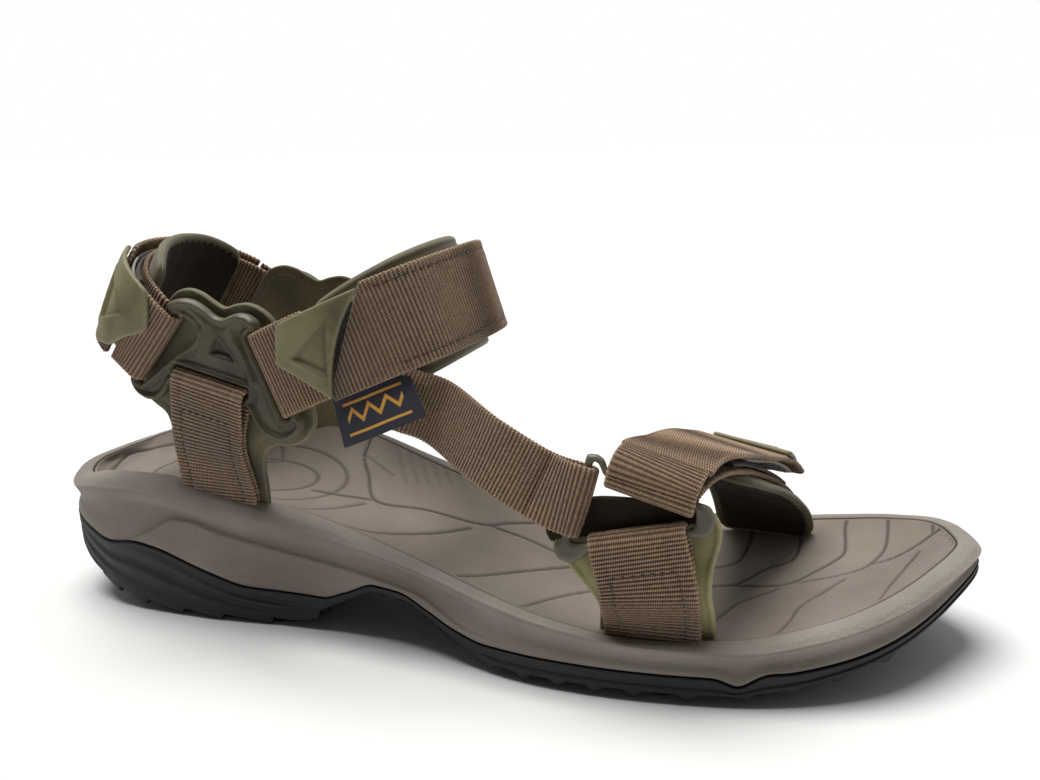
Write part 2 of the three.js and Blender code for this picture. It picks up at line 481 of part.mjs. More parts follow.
const heelTabLow = table([[HEEL_TIP, 3.6], [HEEL_TIP + 8, -9.5], [HEEL_TIP + 14, -13.5], [HEEL_TIP + 36, 11.5]]);
const heelTabTop = table([[HEEL_TIP, 6], [HEEL_TIP + 5, 15.5], [HEEL_TIP + 36, 14.2]]);
const heelTab = heelBand.layer(HEEL_TIP, HEEL_TIP + 36, (s) => heelTabLow(s), (s) => heelTabTop(s), TAB0, TAB1);

// ---------------------------------------------------------------- instep strap
const fd = FRONT_BAR.d, insW = hubD(fd[0], fd[1]), insT = hubD(-fd[1], fd[0]), insB = hubP(...FRONT_BAR.m);
const instepBand = symmetric(
  [insB.clone().addScaledVector(insT, -6), insB, insB.clone().addScaledVector(insT, 9), V(-23, -35.5, 97.2), V(-10, -27.5, 102.4), V(-3, -15, 105.2)],
  [insW, insW, insW, V(0.38, -0.08, -0.92), V(0.33, -0.06, -0.94), V(0.28, -0.03, -0.96)],
  V(-0.6, 0, 106.2), V(0.27, 0, -0.963));
const IL = instepBand.L;
const instepStrap = instepBand.folded({ stub0: 17, stub1: 13, half: WEB / 2 });
const instepPad = instepBand.layer(15, IL - 15,
  (s, t) => -INSTEP_PAD_W / 2 + 5 * Math.pow(Math.abs(2 * t - 1), 4), (s, t) => INSTEP_PAD_W / 2 - 5 * Math.pow(Math.abs(2 * t - 1), 6), PAD0, PAD1);
const INS_HINGE = IL * 0.56, INS_TIP = 5;
const instepLoop = instepBand.layer(19.5, IL * 0.5, -12, 12, LOOP0, LOOP1);
const instepHook = instepBand.layer(21, IL * 0.46, -11.5, 11.5, HOOK0 + 0.05, HOOK1 - 0.2);
const instepFixed = instepBand.layer(INS_HINGE + 0.25, IL - 13.5, -CLOSURE_W / 2, CLOSURE_W / 2, CLO0, CLO1);
// the closure's free end is cut on a slant, under the tab
const insSlant = table([[17.3, CLOSURE_W / 2 - 3], [36, -CLOSURE_W / 2]]);
const instepFlap = instepBand.layer(17.3, INS_HINGE - 0.25, (s) => insSlant(s), CLOSURE_W / 2, CLO0, CLO1);
const insTabTop = table([[INS_TIP, -2.8], [INS_TIP + 4.6, -12.4], [INS_TIP + 31, -14]]);
const insTabLow = table([[INS_TIP, -0.4], [INS_TIP + 12.4, 14.6], [INS_TIP + 31, -11.4]]);
const instepTab = instepBand.layer(INS_TIP, INS_TIP + 31, (s) => insTabTop(s), (s) => insTabLow(s), TAB0, TAB1);

// ---------------------------------------------------------------- side strap
const rd = RING_REAR.d, ringB = ringP(...RING_REAR.m), sideW = ringD(-rd[0], -rd[1]), sideT = ringD(rd[1], -rd[0]);
const SIDE_START = instepBand.at(IL * 0.24);
const sideAt = (x, z, n) => {
  let best = null;
  for (let s = 10; s < 50; s += 0.25) { const f = instepBand.at(s); const a = V(x, f.P.y, z).sub(f.P).dot(f.T); if (!best || Math.abs(a) < Math.abs(best.a)) best = { a, f }; }
  const { P, W, N } = best.f, v = (z - P.z) / W.z;
  return P.clone().addScaledVector(W, v).addScaledVector(N, n);
};
const SIDE_N = -FOLD_R + 0.7;
const s1 = sideAt(-24, 85.5, SIDE_N), s2 = sideAt(-12, 79, SIDE_N), s3 = sideAt(-3, 75, SIDE_N - 0.2);
const sideBand = new Band(
  [s1.clone().add(V(-8, 2, 4)), s1, s2, s3, V(17, -42.3, 66.8), ringB.clone().addScaledVector(sideT, -9), ringB, ringB.clone().addScaledVector(sideT, 6)],
  [V(-0.42, 0, -0.9), V(-0.42, 0, -0.9), V(-0.42, -0.05, -0.9), V(-0.4, -0.1, -0.91), V(-0.38, -0.1, -0.92), sideW, sideW, sideW]);
const SL = sideBand.L;
const sideH = (s) => { const f = Math.min(1, Math.max(0, (s - (SL - 16)) / 16)); return FOLD_R * ease(f); };
let sideStrap = sideBand.folded({ stub1: 12, half: SIDE_WEB_REAR / 2, half1: SIDE_WEB / 2, h: sideH });
const LABEL_LEAN = 0.3, LABEL_S = 15, LABEL_L = 24, LABEL_H = 15;
const label = (grow) => strip(instepBand.between(LABEL_S - grow, LABEL_S + LABEL_L + grow).map((s) => {
  const { P, W, N } = instepBand.at(s), c = Math.cos(LABEL_LEAN), d = Math.sin(LABEL_LEAN);
  return { c: P.clone().addScaledVector(W, CLOSURE_W / 2 + 6.6).addScaledVector(N, 2.55 + 0.4 * (s - LABEL_S) / LABEL_L), w: W.clone().multiplyScalar(c).addScaledVector(N, d),
    q: N.clone().multiplyScalar(c).addScaledVector(W, -d), a0: -LABEL_H / 2 - grow, a1: LABEL_H / 2 + grow, t0: -0.4 - grow, t1: 0.4 + grow };
}));
const labelSolid = label(0);
// the seam follows the lower edge of the instep webbing, and the strap lies clear of the label
sideStrap = sideStrap.subtract(instepBand.layer(2, IL * 0.5, -40, WEB / 2 + 0.4, -14, 12))
  .subtract(instepBand.layer(2, IL * 0.5, -40, CLOSURE_W / 2 + 0.4, HOOK0, 12))
  .subtract(instepBand.layer(2, IL * 0.5, -40, INSTEP_PAD_W / 2 + 3, -14, PAD1 + GAP))
  .subtract(label(GAP / 2));
const pieces = sideStrap.decompose();
sideStrap = pieces.reduce((a, b) => (a.volume() > b.volume() ? a : b));

// ---------------------------------------------------------------- forefoot strap
const RING_OUT = [
  [39.95, 45.1], [37.4, 43.4], [38.4, 39.8], [42.4, 38.4], [46.3, 40.4], [47.9, 42.4], [74.9, 48.5], [79.6, 48.4], [82, 52.6], [80.2, 57],
  [77.1, 57.7], [52.1, 64.7], [50.9, 68.6], [48, 70.6], [44.9, 69.6], [46.15, 67.4]];
const RING_HOLE = [[42.05, 44.5], [47.2, 44.55], [76.3, 51.1], [76.5, 55.6], [51.5, 62.6], [49.6, 66.4], [48.2, 66.8]];
const ringSolid = plate(RING_O, RING_U, RING_V, RING_OUT.map(([x, z]) => ringUV(x, z)), -PLATE_HALF, PLATE_HALF)
  .subtract(plate(RING_O, RING_U, RING_V, RING_HOLE.map(([x, z]) => ringUV(x, z)), -4, 4));
const td = RING_TOP.d, toeB = ringP(...RING_TOP.m), toeW = ringD(td[0], td[1]), toeT = ringD(-td[1], td[0]);
const toeBand = new Band(
  [toeB.clone().addScaledVector(toeT, -6), toeB, toeB.clone().addScaledVector(toeT, 3.5), V(67.3, -37.2, 65.2), V(70.4, -24.6, 64), V(74, -8, 60.6), V(78, 8, 55), V(82, 22, 47.8), V(85.5, 32.5, 39), V(87.5, 38.5, 29), V(88, 40.5, 17), V(88, 40.5, 9)],
  [toeW, toeW, toeW, V(0.97, 0.12, -0.15), V(0.97, 0.05, -0.12), V(0.96, 0, -0.22), V(0.96, -0.1, -0.25), V(0.95, -0.15, -0.2), V(0.96, -0.2, -0.12), V(0.98, -0.18, 0.02), V(0.985, -0.16, 0.04), V(0.985, -0.16, 0.04)]);
const TL = toeBand.L;
const toeStrap = toeBand.folded({ stub0: 9, half: TOE_WEB / 2, s1: TL });
const TOE_HINGE = 9.5, TOE_END = TL * 0.78;
const toeFlap = toeBand.layer(TOE_HINGE + 0.1, TOE_END, (s, t) => -TOE_CLOSURE_W / 2, (s, t) => TOE_CLOSURE_W / 2, CLO0, CLO1);
const toeLoop = toeBand.layer(TL * 0.3, TL * 0.74, -11, 11, LOOP0, LOOP1);
const toeHook = toeBand.layer(TL * 0.42, TL * 0.76, -10.5, 10.5, HOOK0, HOOK1);
const toeTab = toeBand.layer(TOE_END - 16, TOE_END + 3, (s, t) => -14 + 4 * t, (s, t) => 14 - 4 * t, TAB0, TAB1);
const toePadSolid = toeBand.layer(TL * 0.36, TL - 4, (s, t) => -TOE_PAD_W / 2 + 3 * Math.pow(1 - t, 6), (s, t) => TOE_PAD_W / 2 - 3 * Math.pow(1 - t, 6), PAD1 - 3.4, PAD1);
const medToeCut = toeBand.layer(TL - 24, TL + 3, -TOE_WEB / 2 - GAP, TOE_WEB / 2 + GAP, LEG_IN - GAP, -LEG_OUT + GAP)
  .add(toeBand.layer(TL - 24, TL - 4 + GAP, -TOE_PAD_W / 2 - GAP, TOE_PAD_W / 2 + GAP, PAD1 - 3.4 - GAP, PAD1 + GAP));

// ---------------------------------------------------------------- slots in the sole
for (const cut of [hubSlotCut, mirrored(hubSlotCut), toeSlotCut, medToeCut]) {
  midsole = midsole.subtract(cut);
  footbed = footbed.subtract(cut);
}
const main = (s) => s.setTolerance(0.04).decompose().reduce((a, b) => (a.volume() > b.volume() ? a : b));
midsole = main(midsole);
footbed = main(footbed);

// ---------------------------------------------------------------- assembly
const OLIVE = 0x6b6848, BROWN = 0x6f5642, DARK = 0x2c2722, TAUPE = 0x786c62, BLACK = 0x26272b, NAVY = 0x262a40;
const model = new THREE.Group();
const put = (name, solid, color) => model.add(meshOf(name, solid, color));
put("outsole", outsole, BLACK);
put("midsole", midsole, TAUPE);
put("footbed", footbed, 0x7a6d62);
put("shank", shankSolid(0, 0), 0x55585c);
put("heel_shock_pad", shockSolid(0, 0), 0x8a8f7a);
put("lateral_hub", hubSolid(), OLIVE);
put("medial_hub", mirrored(hubSolid()), OLIVE);
put("lateral_hub_pad", latHubPad, 0x605d40);
put("medial_hub_pad", medHubPad, 0x605d40);
put("lateral_anchor_webbing", latAnchorWeb, BROWN);
put("medial_anchor_webbing", medAnchorWeb, BROWN);
put("heel_strap_webbing", heelStrap, BROWN);
put("heel_collar_pad", collar, 0x66634a);
put("heel_loop_patch", heelLoop, DARK);
put("heel_closure_strap", heelFixed, BROWN);
put("heel_closure_flap", heelFlap, BROWN);
put("heel_hook_patch", heelHook, DARK);
put("heel_pull_tab", heelTab, OLIVE);
put("instep_strap_webbing", instepStrap, BROWN);
put("instep_pad", instepPad, 0x66634a);
put("instep_loop_patch", instepLoop, DARK);
put("instep_closure_strap", instepFixed, BROWN);
put("instep_closure_flap", instepFlap, BROWN);
put("instep_hook_patch", instepHook, DARK);
put("instep_pull_tab", instepTab, OLIVE);
put("side_strap", sideStrap, BROWN);
put("side_label", labelSolid, NAVY);
put("toe_ring", ringSolid, 0x7d8272);
put("lateral_toe_anchor_webbing", toeAnchorWeb, BROWN);
put("lateral_toe_pad", latToePad, 0x8a8560);
put("toe_strap_webbing", toeStrap, BROWN);
put("toe_strap_pad", toePadSolid, 0x66634a);
put("toe_loop_patch", toeLoop, DARK);
put("toe_closure_flap", toeFlap, BROWN);
put("toe_hook_patch", toeHook, DARK);
put("toe_pull_tab", toeTab, OLIVE);
export default model;
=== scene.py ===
"""Strappy sport sandal, right foot: the looks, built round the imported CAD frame.

Lengths are millimetres while shapes are made and metres in the scene.  +X points
to the toe, +Y to the inner side of the foot, +Z up, and the ground is z = 0.
"""

import json
import math

import bpy
import numpy as np
from mathutils import Matrix, Vector
from mathutils.geometry import delaunay_2d_cdt

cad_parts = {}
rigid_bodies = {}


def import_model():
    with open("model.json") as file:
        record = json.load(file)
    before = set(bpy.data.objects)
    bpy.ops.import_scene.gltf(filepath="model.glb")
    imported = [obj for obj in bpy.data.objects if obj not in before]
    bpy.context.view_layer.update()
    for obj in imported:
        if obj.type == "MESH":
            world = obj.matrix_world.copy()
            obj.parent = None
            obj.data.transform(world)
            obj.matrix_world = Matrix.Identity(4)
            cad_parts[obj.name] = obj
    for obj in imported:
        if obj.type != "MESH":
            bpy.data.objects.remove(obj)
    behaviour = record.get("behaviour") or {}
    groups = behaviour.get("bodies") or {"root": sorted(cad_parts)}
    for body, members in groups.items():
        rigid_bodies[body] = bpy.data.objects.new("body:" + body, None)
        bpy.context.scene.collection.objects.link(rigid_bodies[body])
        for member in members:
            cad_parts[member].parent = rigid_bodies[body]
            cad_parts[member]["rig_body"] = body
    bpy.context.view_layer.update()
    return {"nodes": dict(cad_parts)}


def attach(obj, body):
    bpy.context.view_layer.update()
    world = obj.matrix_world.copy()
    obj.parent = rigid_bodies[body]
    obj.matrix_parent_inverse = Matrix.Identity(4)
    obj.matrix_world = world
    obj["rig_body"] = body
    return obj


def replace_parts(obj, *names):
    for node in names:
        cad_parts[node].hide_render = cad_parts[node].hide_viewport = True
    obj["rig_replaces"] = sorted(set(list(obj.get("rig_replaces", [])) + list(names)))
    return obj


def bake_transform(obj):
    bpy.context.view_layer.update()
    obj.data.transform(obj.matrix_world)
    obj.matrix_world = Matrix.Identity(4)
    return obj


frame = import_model()
rng = np.random.default_rng(7)
MM = 0.001

# ------------------------------------------------------------------ sizes, mm
GAP = 0.3
WEB, TOE_WEB, SIDE_WEB, SIDE_WEB_REAR, ANCHOR = 27, 25, 20, 20.5, 27
WEB_T, CLOSURE_T, PATCH_T, PAD_T, HUB_PAD_T, TAB_T = 1.5, 1.8, 1.35, 4.4, 2.2, 2.0
FOLD_R = 2.7
CLOSURE_W, HEEL_CLOSURE_W, TOE_CLOSURE_W = 29.5, 28, 27
COLLAR_W, INSTEP_PAD_W, TOE_PAD_W = 38, 37, 33
RIM, FOOTBED_T = 7, 4
LEG_IN, LEG_OUT = -(FOLD_R + WEB_T / 2), FOLD_R - WEB_T / 2
LOOP0 = -LEG_OUT + GAP
LOOP1 = LOOP0 + PATCH_T
HOOK0 = LOOP1 + GAP
HOOK1 = HOOK0 + PATCH_T
CLO0 = HOOK1 + GAP
CLO1 = CLO0 + CLOSURE_T
TAB0 = max(CLO1, FOLD_R + WEB_T / 2) + GAP
PAD1 = LEG_IN - GAP
PAD0 = PAD1 - PAD_T
RIB = 1.2  # one rib of the webbing, along its length


# ------------------------------------------------------------------ curves
def unit(a):
    return a / np.maximum(np.linalg.norm(a, axis=-1, keepdims=True), 1e-12)


def ease(t):
    t = np.clip(t, 0, 1)
    return t * t * (3 - 2 * t)


def catmull(points, t, closed=False):
    """Centripetal Catmull-Rom curve through the points, at t from 0 to 1."""
    p = np.asarray(points, float)
    n = len(p)
    t = np.atleast_1d(np.asarray(t, float))
    if closed:
        f = (t % 1.0) * n
        i = np.floor(f).astype(int) % n
        u = f - np.floor(f)
        q = [p[(i + k - 1) % n] for k in range(4)]
    else:
        w = np.vstack([2 * p[0] - p[1], p, 2 * p[-1] - p[-2]])
        f = np.clip(t, 0, 1) * (n - 1)
        i = np.minimum(np.floor(f).astype(int), n - 2)
        u = f - i
        q = [w[i + k] for k in range(4)]
    d = [np.sqrt(np.linalg.norm(q[k + 1] - q[k], axis=1))[:, None] for k in range(3)]
    d[1] = np.where(d[1] < 1e-4, 1.0, d[1])
    d[0] = np.where(d[0] < 1e-4, d[1], d[0])
    d[2] = np.where(d[2] < 1e-4, d[1], d[2])
    m1 = ((q[1] - q[0]) / d[0] - (q[2] - q[0]) / (d[0] + d[1]) + (q[2] - q[1]) / d[1]) * d[1]
    m2 = ((q[2] - q[1]) / d[1] - (q[3] - q[1]) / (d[1] + d[2]) + (q[3] - q[2]) / d[2]) * d[1]
    u = u[:, None]
    a = 2 * q[1] - 2 * q[2] + m1 + m2
    b = -3 * q[1] + 3 * q[2] - 2 * m1 - m2
    return ((a * u + b) * u + m1) * u + q[1]


def table(rows):
    """A smooth height table that never overshoots its rows."""
    x, y = np.array(rows, float).T
    s = np.diff(y) / np.diff(x)
    m = np.zeros(len(x))
    m[1:-1] = np.where(s[:-1] * s[1:] > 0,
        2 * s[:-1] * s[1:] / np.where(s[:-1] + s[1:] == 0, 1, s[:-1] + s[1:]), 0)
    m[0], m[-1] = s[0], s[-1]

    def at(v):
        v = np.clip(v, x[0], x[-1])
        i = np.clip(np.searchsorted(x, v, side="right") - 1, 0, len(x) - 2)
        h = x[i + 1] - x[i]
        t = (v - x[i]) / h
        return (
            y[i] * (2 * t**3 - 3 * t**2 + 1)
            + m[i] * h * (t**3 - 2 * t**2 + t)
            + y[i + 1] * (-2 * t**3 + 3 * t**2)
            + m[i + 1] * h * (t**3 - t**2)
        )

    return at


class Band:
    """A centre line with a width direction carried along it."""

    def __init__(self, points, widths):
        n, m = len(points) - 1, 1400
        t = np.linspace(0, 1, m + 1)
        self.P = catmull(points, t)
        s = np.concatenate([[0], np.cumsum(np.linalg.norm(np.diff(self.P, axis=0), axis=1))])
        self.T = unit(catmull(points, np.minimum(1, t + 0.002)) - catmull(points, np.maximum(0, t - 0.002)))
        f = t * n
        i = np.minimum(n - 1, np.floor(f).astype(int))
        w = np.asarray(widths, float)
        u = (f - i)[:, None]
        W = w[i] * (1 - u) + w[i + 1] * u
        self.W = unit(W - (W * self.T).sum(1)[:, None] * self.T)
        s0 = np.interp(1 / n, t, s)
        self.L = float(np.interp(1 - 1 / n, t, s) - s0)
        self.s = s - s0

    def frame(self, s):
        def pick(a):
            return np.stack([np.interp(s, self.s, a[:, k]) for k in range(3)], -1)

        P, T, W = pick(self.P), unit(pick(self.T)), pick(self.W)
        W = unit(W - (W * T).sum(-1)[..., None] * T)
        return P, T, W, np.cross(W, T)

    def put(self, s, v, n):
        P, T, W, N = self.frame(s)
        return P + W * np.asarray(v)[..., None] + N * np.asarray(n)[..., None]


def mirror_y(p):
    return np.asarray(p, float) * np.array([1, -1, 1])


# ------------------------------------------------------------------ meshes
def mesh(name, verts, faces, uv=None, smooth=True, attributes=None, materials=(), face_material=None):
    """An object from millimetre vertices. uv is one (u, v) per vertex."""
    me = bpy.data.meshes.new(name)
    me.from_pydata((np.asarray(verts, float) * MM).tolist(), [], [list(map(int, f)) for f in faces])
    me.polygons.foreach_set("use_smooth", [smooth] * len(me.polygons))
    if uv is not None:
        layer = me.uv_layers.new(name="weave")
        idx = np.zeros(len(me.loops), np.int32)
        me.loops.foreach_get("vertex_index", idx)
        layer.data.foreach_set("uv", np.asarray(uv, np.float32)[idx].ravel())
    for key, values in (attributes or {}).items():
        a = me.attributes.new(key, "FLOAT", "POINT")
        a.data.foreach_set("value", np.asarray(values, np.float32))
    for m in materials:
        me.materials.append(m)
    if face_material is not None:
        me.polygons.foreach_set("material_index", np.asarray(face_material, np.int32))
    me.validate()
    me.update()
    o = bpy.data.objects.new(name, me)
    bpy.context.scene.collection.objects.link(o)
    return o


def grid_faces(rows, cols, close_rows=False, close_cols=True, start=0):
    """Quads of a grid of points, rows one after another."""
    r = np.arange(rows if close_rows else rows - 1)
    c = np.arange(cols if close_cols else cols - 1)
    R, C = np.meshgrid(r, c, indexing="ij")
    a = R * cols + C
    b = R * cols + (C + 1) % cols
    d = ((R + 1) % rows) * cols + C
    e = ((R + 1) % rows) * cols + (C + 1) % cols
    return (np.stack([a, b, e, d], -1).reshape(-1, 4) + start).tolist()


def outward(o):
    """Turn all faces outward."""
    import bmesh

    b = bmesh.new()
    b.from_mesh(o.data)
    bmesh.ops.recalc_face_normals(b, faces=b.faces)
    b.to_mesh(o.data)
    b.free()
    return o


def finish_piece(o, body, slot, *nodes):
    outward(o)
    if body:
        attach(o, body)
    if nodes:
        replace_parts(o, *nodes)
    return o


# ------------------------------------------------------------------ materials
def lin(r, g, b):
    """An sRGB colour of 0 to 255 as a linear colour."""
    c = np.array([r, g, b]) / 255
    c = np.where(c <= 0.04045, c / 12.92, ((c + 0.055) / 1.055) ** 2.4)
    return (*map(float, c), 1.0)


class Mat:
    """A small helper for writing a node material."""

    def __init__(self, name, **sockets):
        self.m = bpy.data.materials.new(name)
        self.m.use_nodes = True
        self.t = self.m.node_tree
        self.bsdf = self.t.nodes["Principled BSDF"]
        for k, v in sockets.items():
            self.bsdf.inputs[k.replace("_", " ")].default_value = v

    def node(self, kind, inputs=(), **props):
        n = self.t.nodes.new("ShaderNode" + kind)
        for k, v in props.items():
            setattr(n, k, v)
        for k, v in dict(inputs).items():
            self.put(n.inputs[k], v)
        return n

    def put(self, socket, v):
        if isinstance(v, bpy.types.NodeSocket):
            self.t.links.new(v, socket)
        elif v is not None:
            socket.default_value = v

    def math(self, op, a, b=None, c=None, clamp=False):
        n = self.node("Math", operation=op, use_clamp=clamp)
        for i, v in enumerate((a, b, c)):
            self.put(n.inputs[i], v)
        return n.outputs[0]

    def add(self, a, b):
        return self.math("ADD", a, b)

    def mul(self, a, b):
        return self.math("MULTIPLY", a, b)

    def ramp(self, fac, stops, interpolation="LINEAR"):
        n = self.node("ValToRGB", {"Fac": fac})
        n.color_ramp.interpolation = interpolation
        while len(n.color_ramp.elements) < len(stops):
            n.color_ramp.elements.new(0.5)
        for e, (p, c) in zip(n.color_ramp.elements, stops):
            e.position = p
            e.color = c
        return n.outputs["Color"]

    def mix(self, fac, a, b, blend="MIX"):
        n = self.node("Mix", data_type="RGBA", blend_type=blend)
        self.put(n.inputs["Factor"], fac)
        self.put(n.inputs[6], a)
        self.put(n.inputs[7], b)
        return n.outputs[2]

    def span(self, v, a, b, c, d):
        return self.node("MapRange", {"Value": v, "From Min": a, "From Max": b, "To Min": c,
            "To Max": d}).outputs[0]

    def uv(self, name="weave"):
        x = self.node("SeparateXYZ", {0: self.node("UVMap", uv_map=name).outputs[0]})
        return x.outputs[0], x.outputs[1]

    def attr(self, name):
        return self.node("Attribute", attribute_name=name, attribute_type="GEOMETRY").outputs["Fac"]

    def coord(self):
        return self.node("TexCoord").outputs["Object"]

    def noise(self, vector, scale, detail=3.0, rough=0.55):
        return self.node("TexNoise", {"Vector": vector, "Scale": scale, "Detail": detail,
            "Roughness": rough}).outputs[0]

    def voronoi(self, vector, scale, feature="F1"):
        return self.node("TexVoronoi", {"Vector": vector, "Scale": scale},
            feature=feature).outputs["Distance"]

    def bump(self, height, strength, distance, normal=None):
        n = self.node("Bump", {"Height": height, "Strength": strength, "Distance": distance})
        if normal is not None:
            self.put(n.inputs["Normal"], normal)
        return n.outputs[0]

    def done(self, color=None, rough=None, normal=None):
        for k, v in (("Base Color", color), ("Roughness", rough), ("Normal", normal)):
            if v is not None:
                self.put(self.bsdf.inputs[k], v)
        return self.m


def grid_vector(m, a, b):
    n = m.node("CombineXYZ")
    m.put(n.inputs[0], a)
    m.put(n.inputs[1], b)
    return n.outputs[0]


def webbing(name, dark, mid, light, yarn=0.62, rib=RIB, twill=0.0):
    """Ribbed woven webbing. The weave UV is in millimetres: u along, v across."""
    m = Mat(name, Roughness=0.8, Sheen_Weight=0.25, Sheen_Roughness=0.45, Specular_IOR_Level=0.28)
    u, v = m.uv()
    rib_u = m.mul(u, 1 / rib)
    row = m.math("FLOOR", m.add(rib_u, 0.5))
    wave = m.math("COSINE", m.mul(rib_u, 2 * math.pi))  # 1 on the crest of a rib
    slip = m.mul(m.math("FRACT", m.mul(row, 0.5)), 1.0)
    lean = m.mul(m.math("SINE", m.mul(rib_u, 2 * math.pi)), 0.16 + twill)
    col_v = m.add(m.add(m.mul(v, 1 / yarn), slip), lean)
    yarns = m.math("COSINE", m.mul(col_v, 2 * math.pi))
    cell = m.node("TexWhiteNoise", {"Vector": grid_vector(m, row, m.math("FLOOR", m.add(col_v, 0.5)))},
        noise_dimensions="2D").outputs["Value"]
    fibre = m.noise(grid_vector(m, m.mul(u, 7.0), m.mul(col_v, 1.1)), 1.0, 3.0)
    height = m.add(m.add(m.mul(wave, 0.34), m.mul(yarns, 0.30)), m.add(m.mul(cell, 0.16), m.mul(fibre, 0.25)))
    # the tone follows the weave's height: painted shade in the rib valleys and between the yarns, a painted
    # highlight on the crests, with a random tone per yarn
    tone = m.span(height, -0.42, 0.85, 0.0, 1.0)
    base = m.ramp(tone, [(0.0, dark), (0.5, mid), (1.0, light)])
    patch = m.noise(m.coord(), 46.0, 3.0)
    warm = m.ramp(patch, [(0.3, lin(205, 205, 212)), (0.7, lin(255, 248, 236))])
    color = m.mix(0.55, base, warm, "MULTIPLY")
    # lighter towards the selvedges
    selvedge_lightening = m.attr("edge")
    color = m.mix(m.mul(selvedge_lightening, 0.35), color, light)
    return m.done(color, m.span(height, -0.5, 0.9, 0.95, 0.66), m.bump(height, 1.0, 0.00032))


# the dark and light stops are darker and lighter yarns, and also painted shade in the weave's valleys and a
# painted highlight on its crests
DARK_YARN_VALLEY_SHADE, MID_YARN, LIGHT_YARN_CREST_HIGHLIGHT = lin(42, 31, 24), lin(128, 103, 81), lin(192, 162, 131)
WEBBING = webbing("webbing_brown", DARK_YARN_VALLEY_SHADE, MID_YARN, LIGHT_YARN_CREST_HIGHLIGHT)
CLOSURE = webbing("closure_webbing", lin(44, 33, 26), lin(132, 107, 85), lin(196, 167, 137), yarn=0.74,
    twill=0.1)


def polymer(name, color, deep, light, rough=0.5, grain=1.0, sheen=0.0, fine=2600.0):
    """Moulded soft polymer with a fine matt grain, with painted shade in its hollows and a painted highlight
    on its rounded edges.
    """
    m = Mat(name, Sheen_Weight=sheen, Sheen_Roughness=0.5, Specular_IOR_Level=0.38)
    c = m.coord()
    big = m.noise(c, 38.0, 4.0)
    small = m.noise(c, fine, 2.0)
    cells = m.voronoi(c, fine * 0.7)
    tone = m.ramp(big, [(0.28, deep), (0.52, color), (0.78, light)])
    # painted shade, darker in the recesses and grooves that the mask marks
    hollow = m.attr("hollow")
    tone = m.mix(m.mul(hollow, 0.55), tone, deep)
    # painted highlight along the rounded edges
    tone = m.mix(m.mul(m.attr("edge"), 0.4), tone, light)
    n = m.bump(m.add(m.mul(small, 0.6), m.mul(cells, 0.5)), 0.22 * grain, 0.0001)
    r = m.span(m.add(small, m.mul(big, 0.6)), 0.4, 1.2, rough - 0.08, rough + 0.12)
    return m.done(tone, r, n)


HUB = polymer("hub_polymer_olive", lin(76, 70, 51), lin(40, 36, 26), lin(108, 102, 80), 0.44)
PAD = polymer("pad_cover_olive", lin(96, 90, 65), lin(62, 56, 41), lin(122, 116, 88), 0.62, 1.6, 0.2)
TAB = polymer("tab_polymer_olive", lin(116, 110, 79), lin(66, 61, 42), lin(146, 139, 107), 0.5)
RING = polymer("ring_polymer", lin(92, 89, 74), lin(60, 58, 48), lin(120, 117, 101), 0.38)
TOEPAD = polymer("toe_pad_cover", lin(144, 136, 94), lin(100, 92, 60), lin(172, 164, 120), 0.66, 2.0, 0.25)


def lining(name, deep, tone_a, light):
    """Brushed lining cloth."""
    m = Mat(name, Roughness=0.95, Sheen_Weight=0.06, Sheen_Roughness=0.6, Specular_IOR_Level=0.2)
    c = m.coord()
    fuzz = m.noise(c, 1900.0, 4.0, 0.7)
    weave = m.voronoi(c, 1700.0)
    tone = m.ramp(m.noise(c, 60.0, 4.0), [(0.3, deep), (0.7, tone_a)])
    tone = m.mix(m.mul(fuzz, 0.35), tone, light)
    return m.done(tone, m.span(fuzz, 0.2, 0.8, 0.85, 1.0), m.bump(m.add(fuzz, weave), 0.6, 0.00018))


LINING = lining("lining_dark", lin(26, 21, 15), lin(44, 37, 28), lin(70, 60, 46))
HUB_LINING = lining("lining_olive", lin(80, 73, 52), lin(112, 104, 76), lin(138, 129, 100))


def foam(name, color, deep, light, grain, cell, pattern=False):
    """Moulded foam with a leathery grain."""
    m = Mat(name, Sheen_Weight=0.12, Sheen_Roughness=0.5, Specular_IOR_Level=0.3)
    c = m.coord()
    warp = m.node("VectorMath", {0: c}, operation="ADD")
    jitter = m.node("TexNoise", {"Vector": c, "Scale": 320.0, "Detail": 2.0})
    shift = m.node("VectorMath", {0: jitter.outputs["Color"], "Scale": 0.0016}, operation="SCALE")
    m.put(warp.inputs[1], shift.outputs[0])
    pebbles = m.node("TexVoronoi", {"Vector": warp.outputs[0], "Scale": cell, "Smoothness": 0.6},
        feature="SMOOTH_F1").outputs["Distance"]
    fine = m.noise(c, cell * 2.2, 4.0, 0.6)
    height = m.add(m.mul(pebbles, -0.9), m.mul(fine, 0.45))
    big = m.noise(c, 22.0, 4.0)
    tone = m.ramp(big, [(0.3, deep), (0.5, color), (0.72, light)])
    speck = m.ramp(m.noise(c, 2400.0, 3.0, 0.7), [(0.3, lin(222, 220, 218)), (0.7, lin(255, 255, 255))])
    tone = m.mix(0.5, tone, speck, "MULTIPLY")
    # painted shade in the grooves, joints and gaps that the mask marks
    groove = m.attr("groove")
    tone = m.mix(m.math("MINIMUM", groove, 0.92), tone, lin(40, 35, 31))
    # painted highlight on the rolled rim
    tone = m.mix(m.mul(m.attr("edge"), 0.3), tone, light)
    normal = m.bump(m.mul(height, m.attr("grain") if pattern else 1.0), grain, 0.00035)
    return m.done(tone, m.span(fine, 0.2, 0.8, 0.62, 0.82), normal)


MIDSOLE = foam("midsole_foam_taupe", lin(134, 125, 116), lin(120, 111, 102), lin(150, 142, 133), 0.55,
    900.0, True)
FOOTBED = foam("footbed_foam_taupe", lin(126, 115, 104), lin(114, 104, 94), lin(140, 130, 119), 0.14, 1500.0)


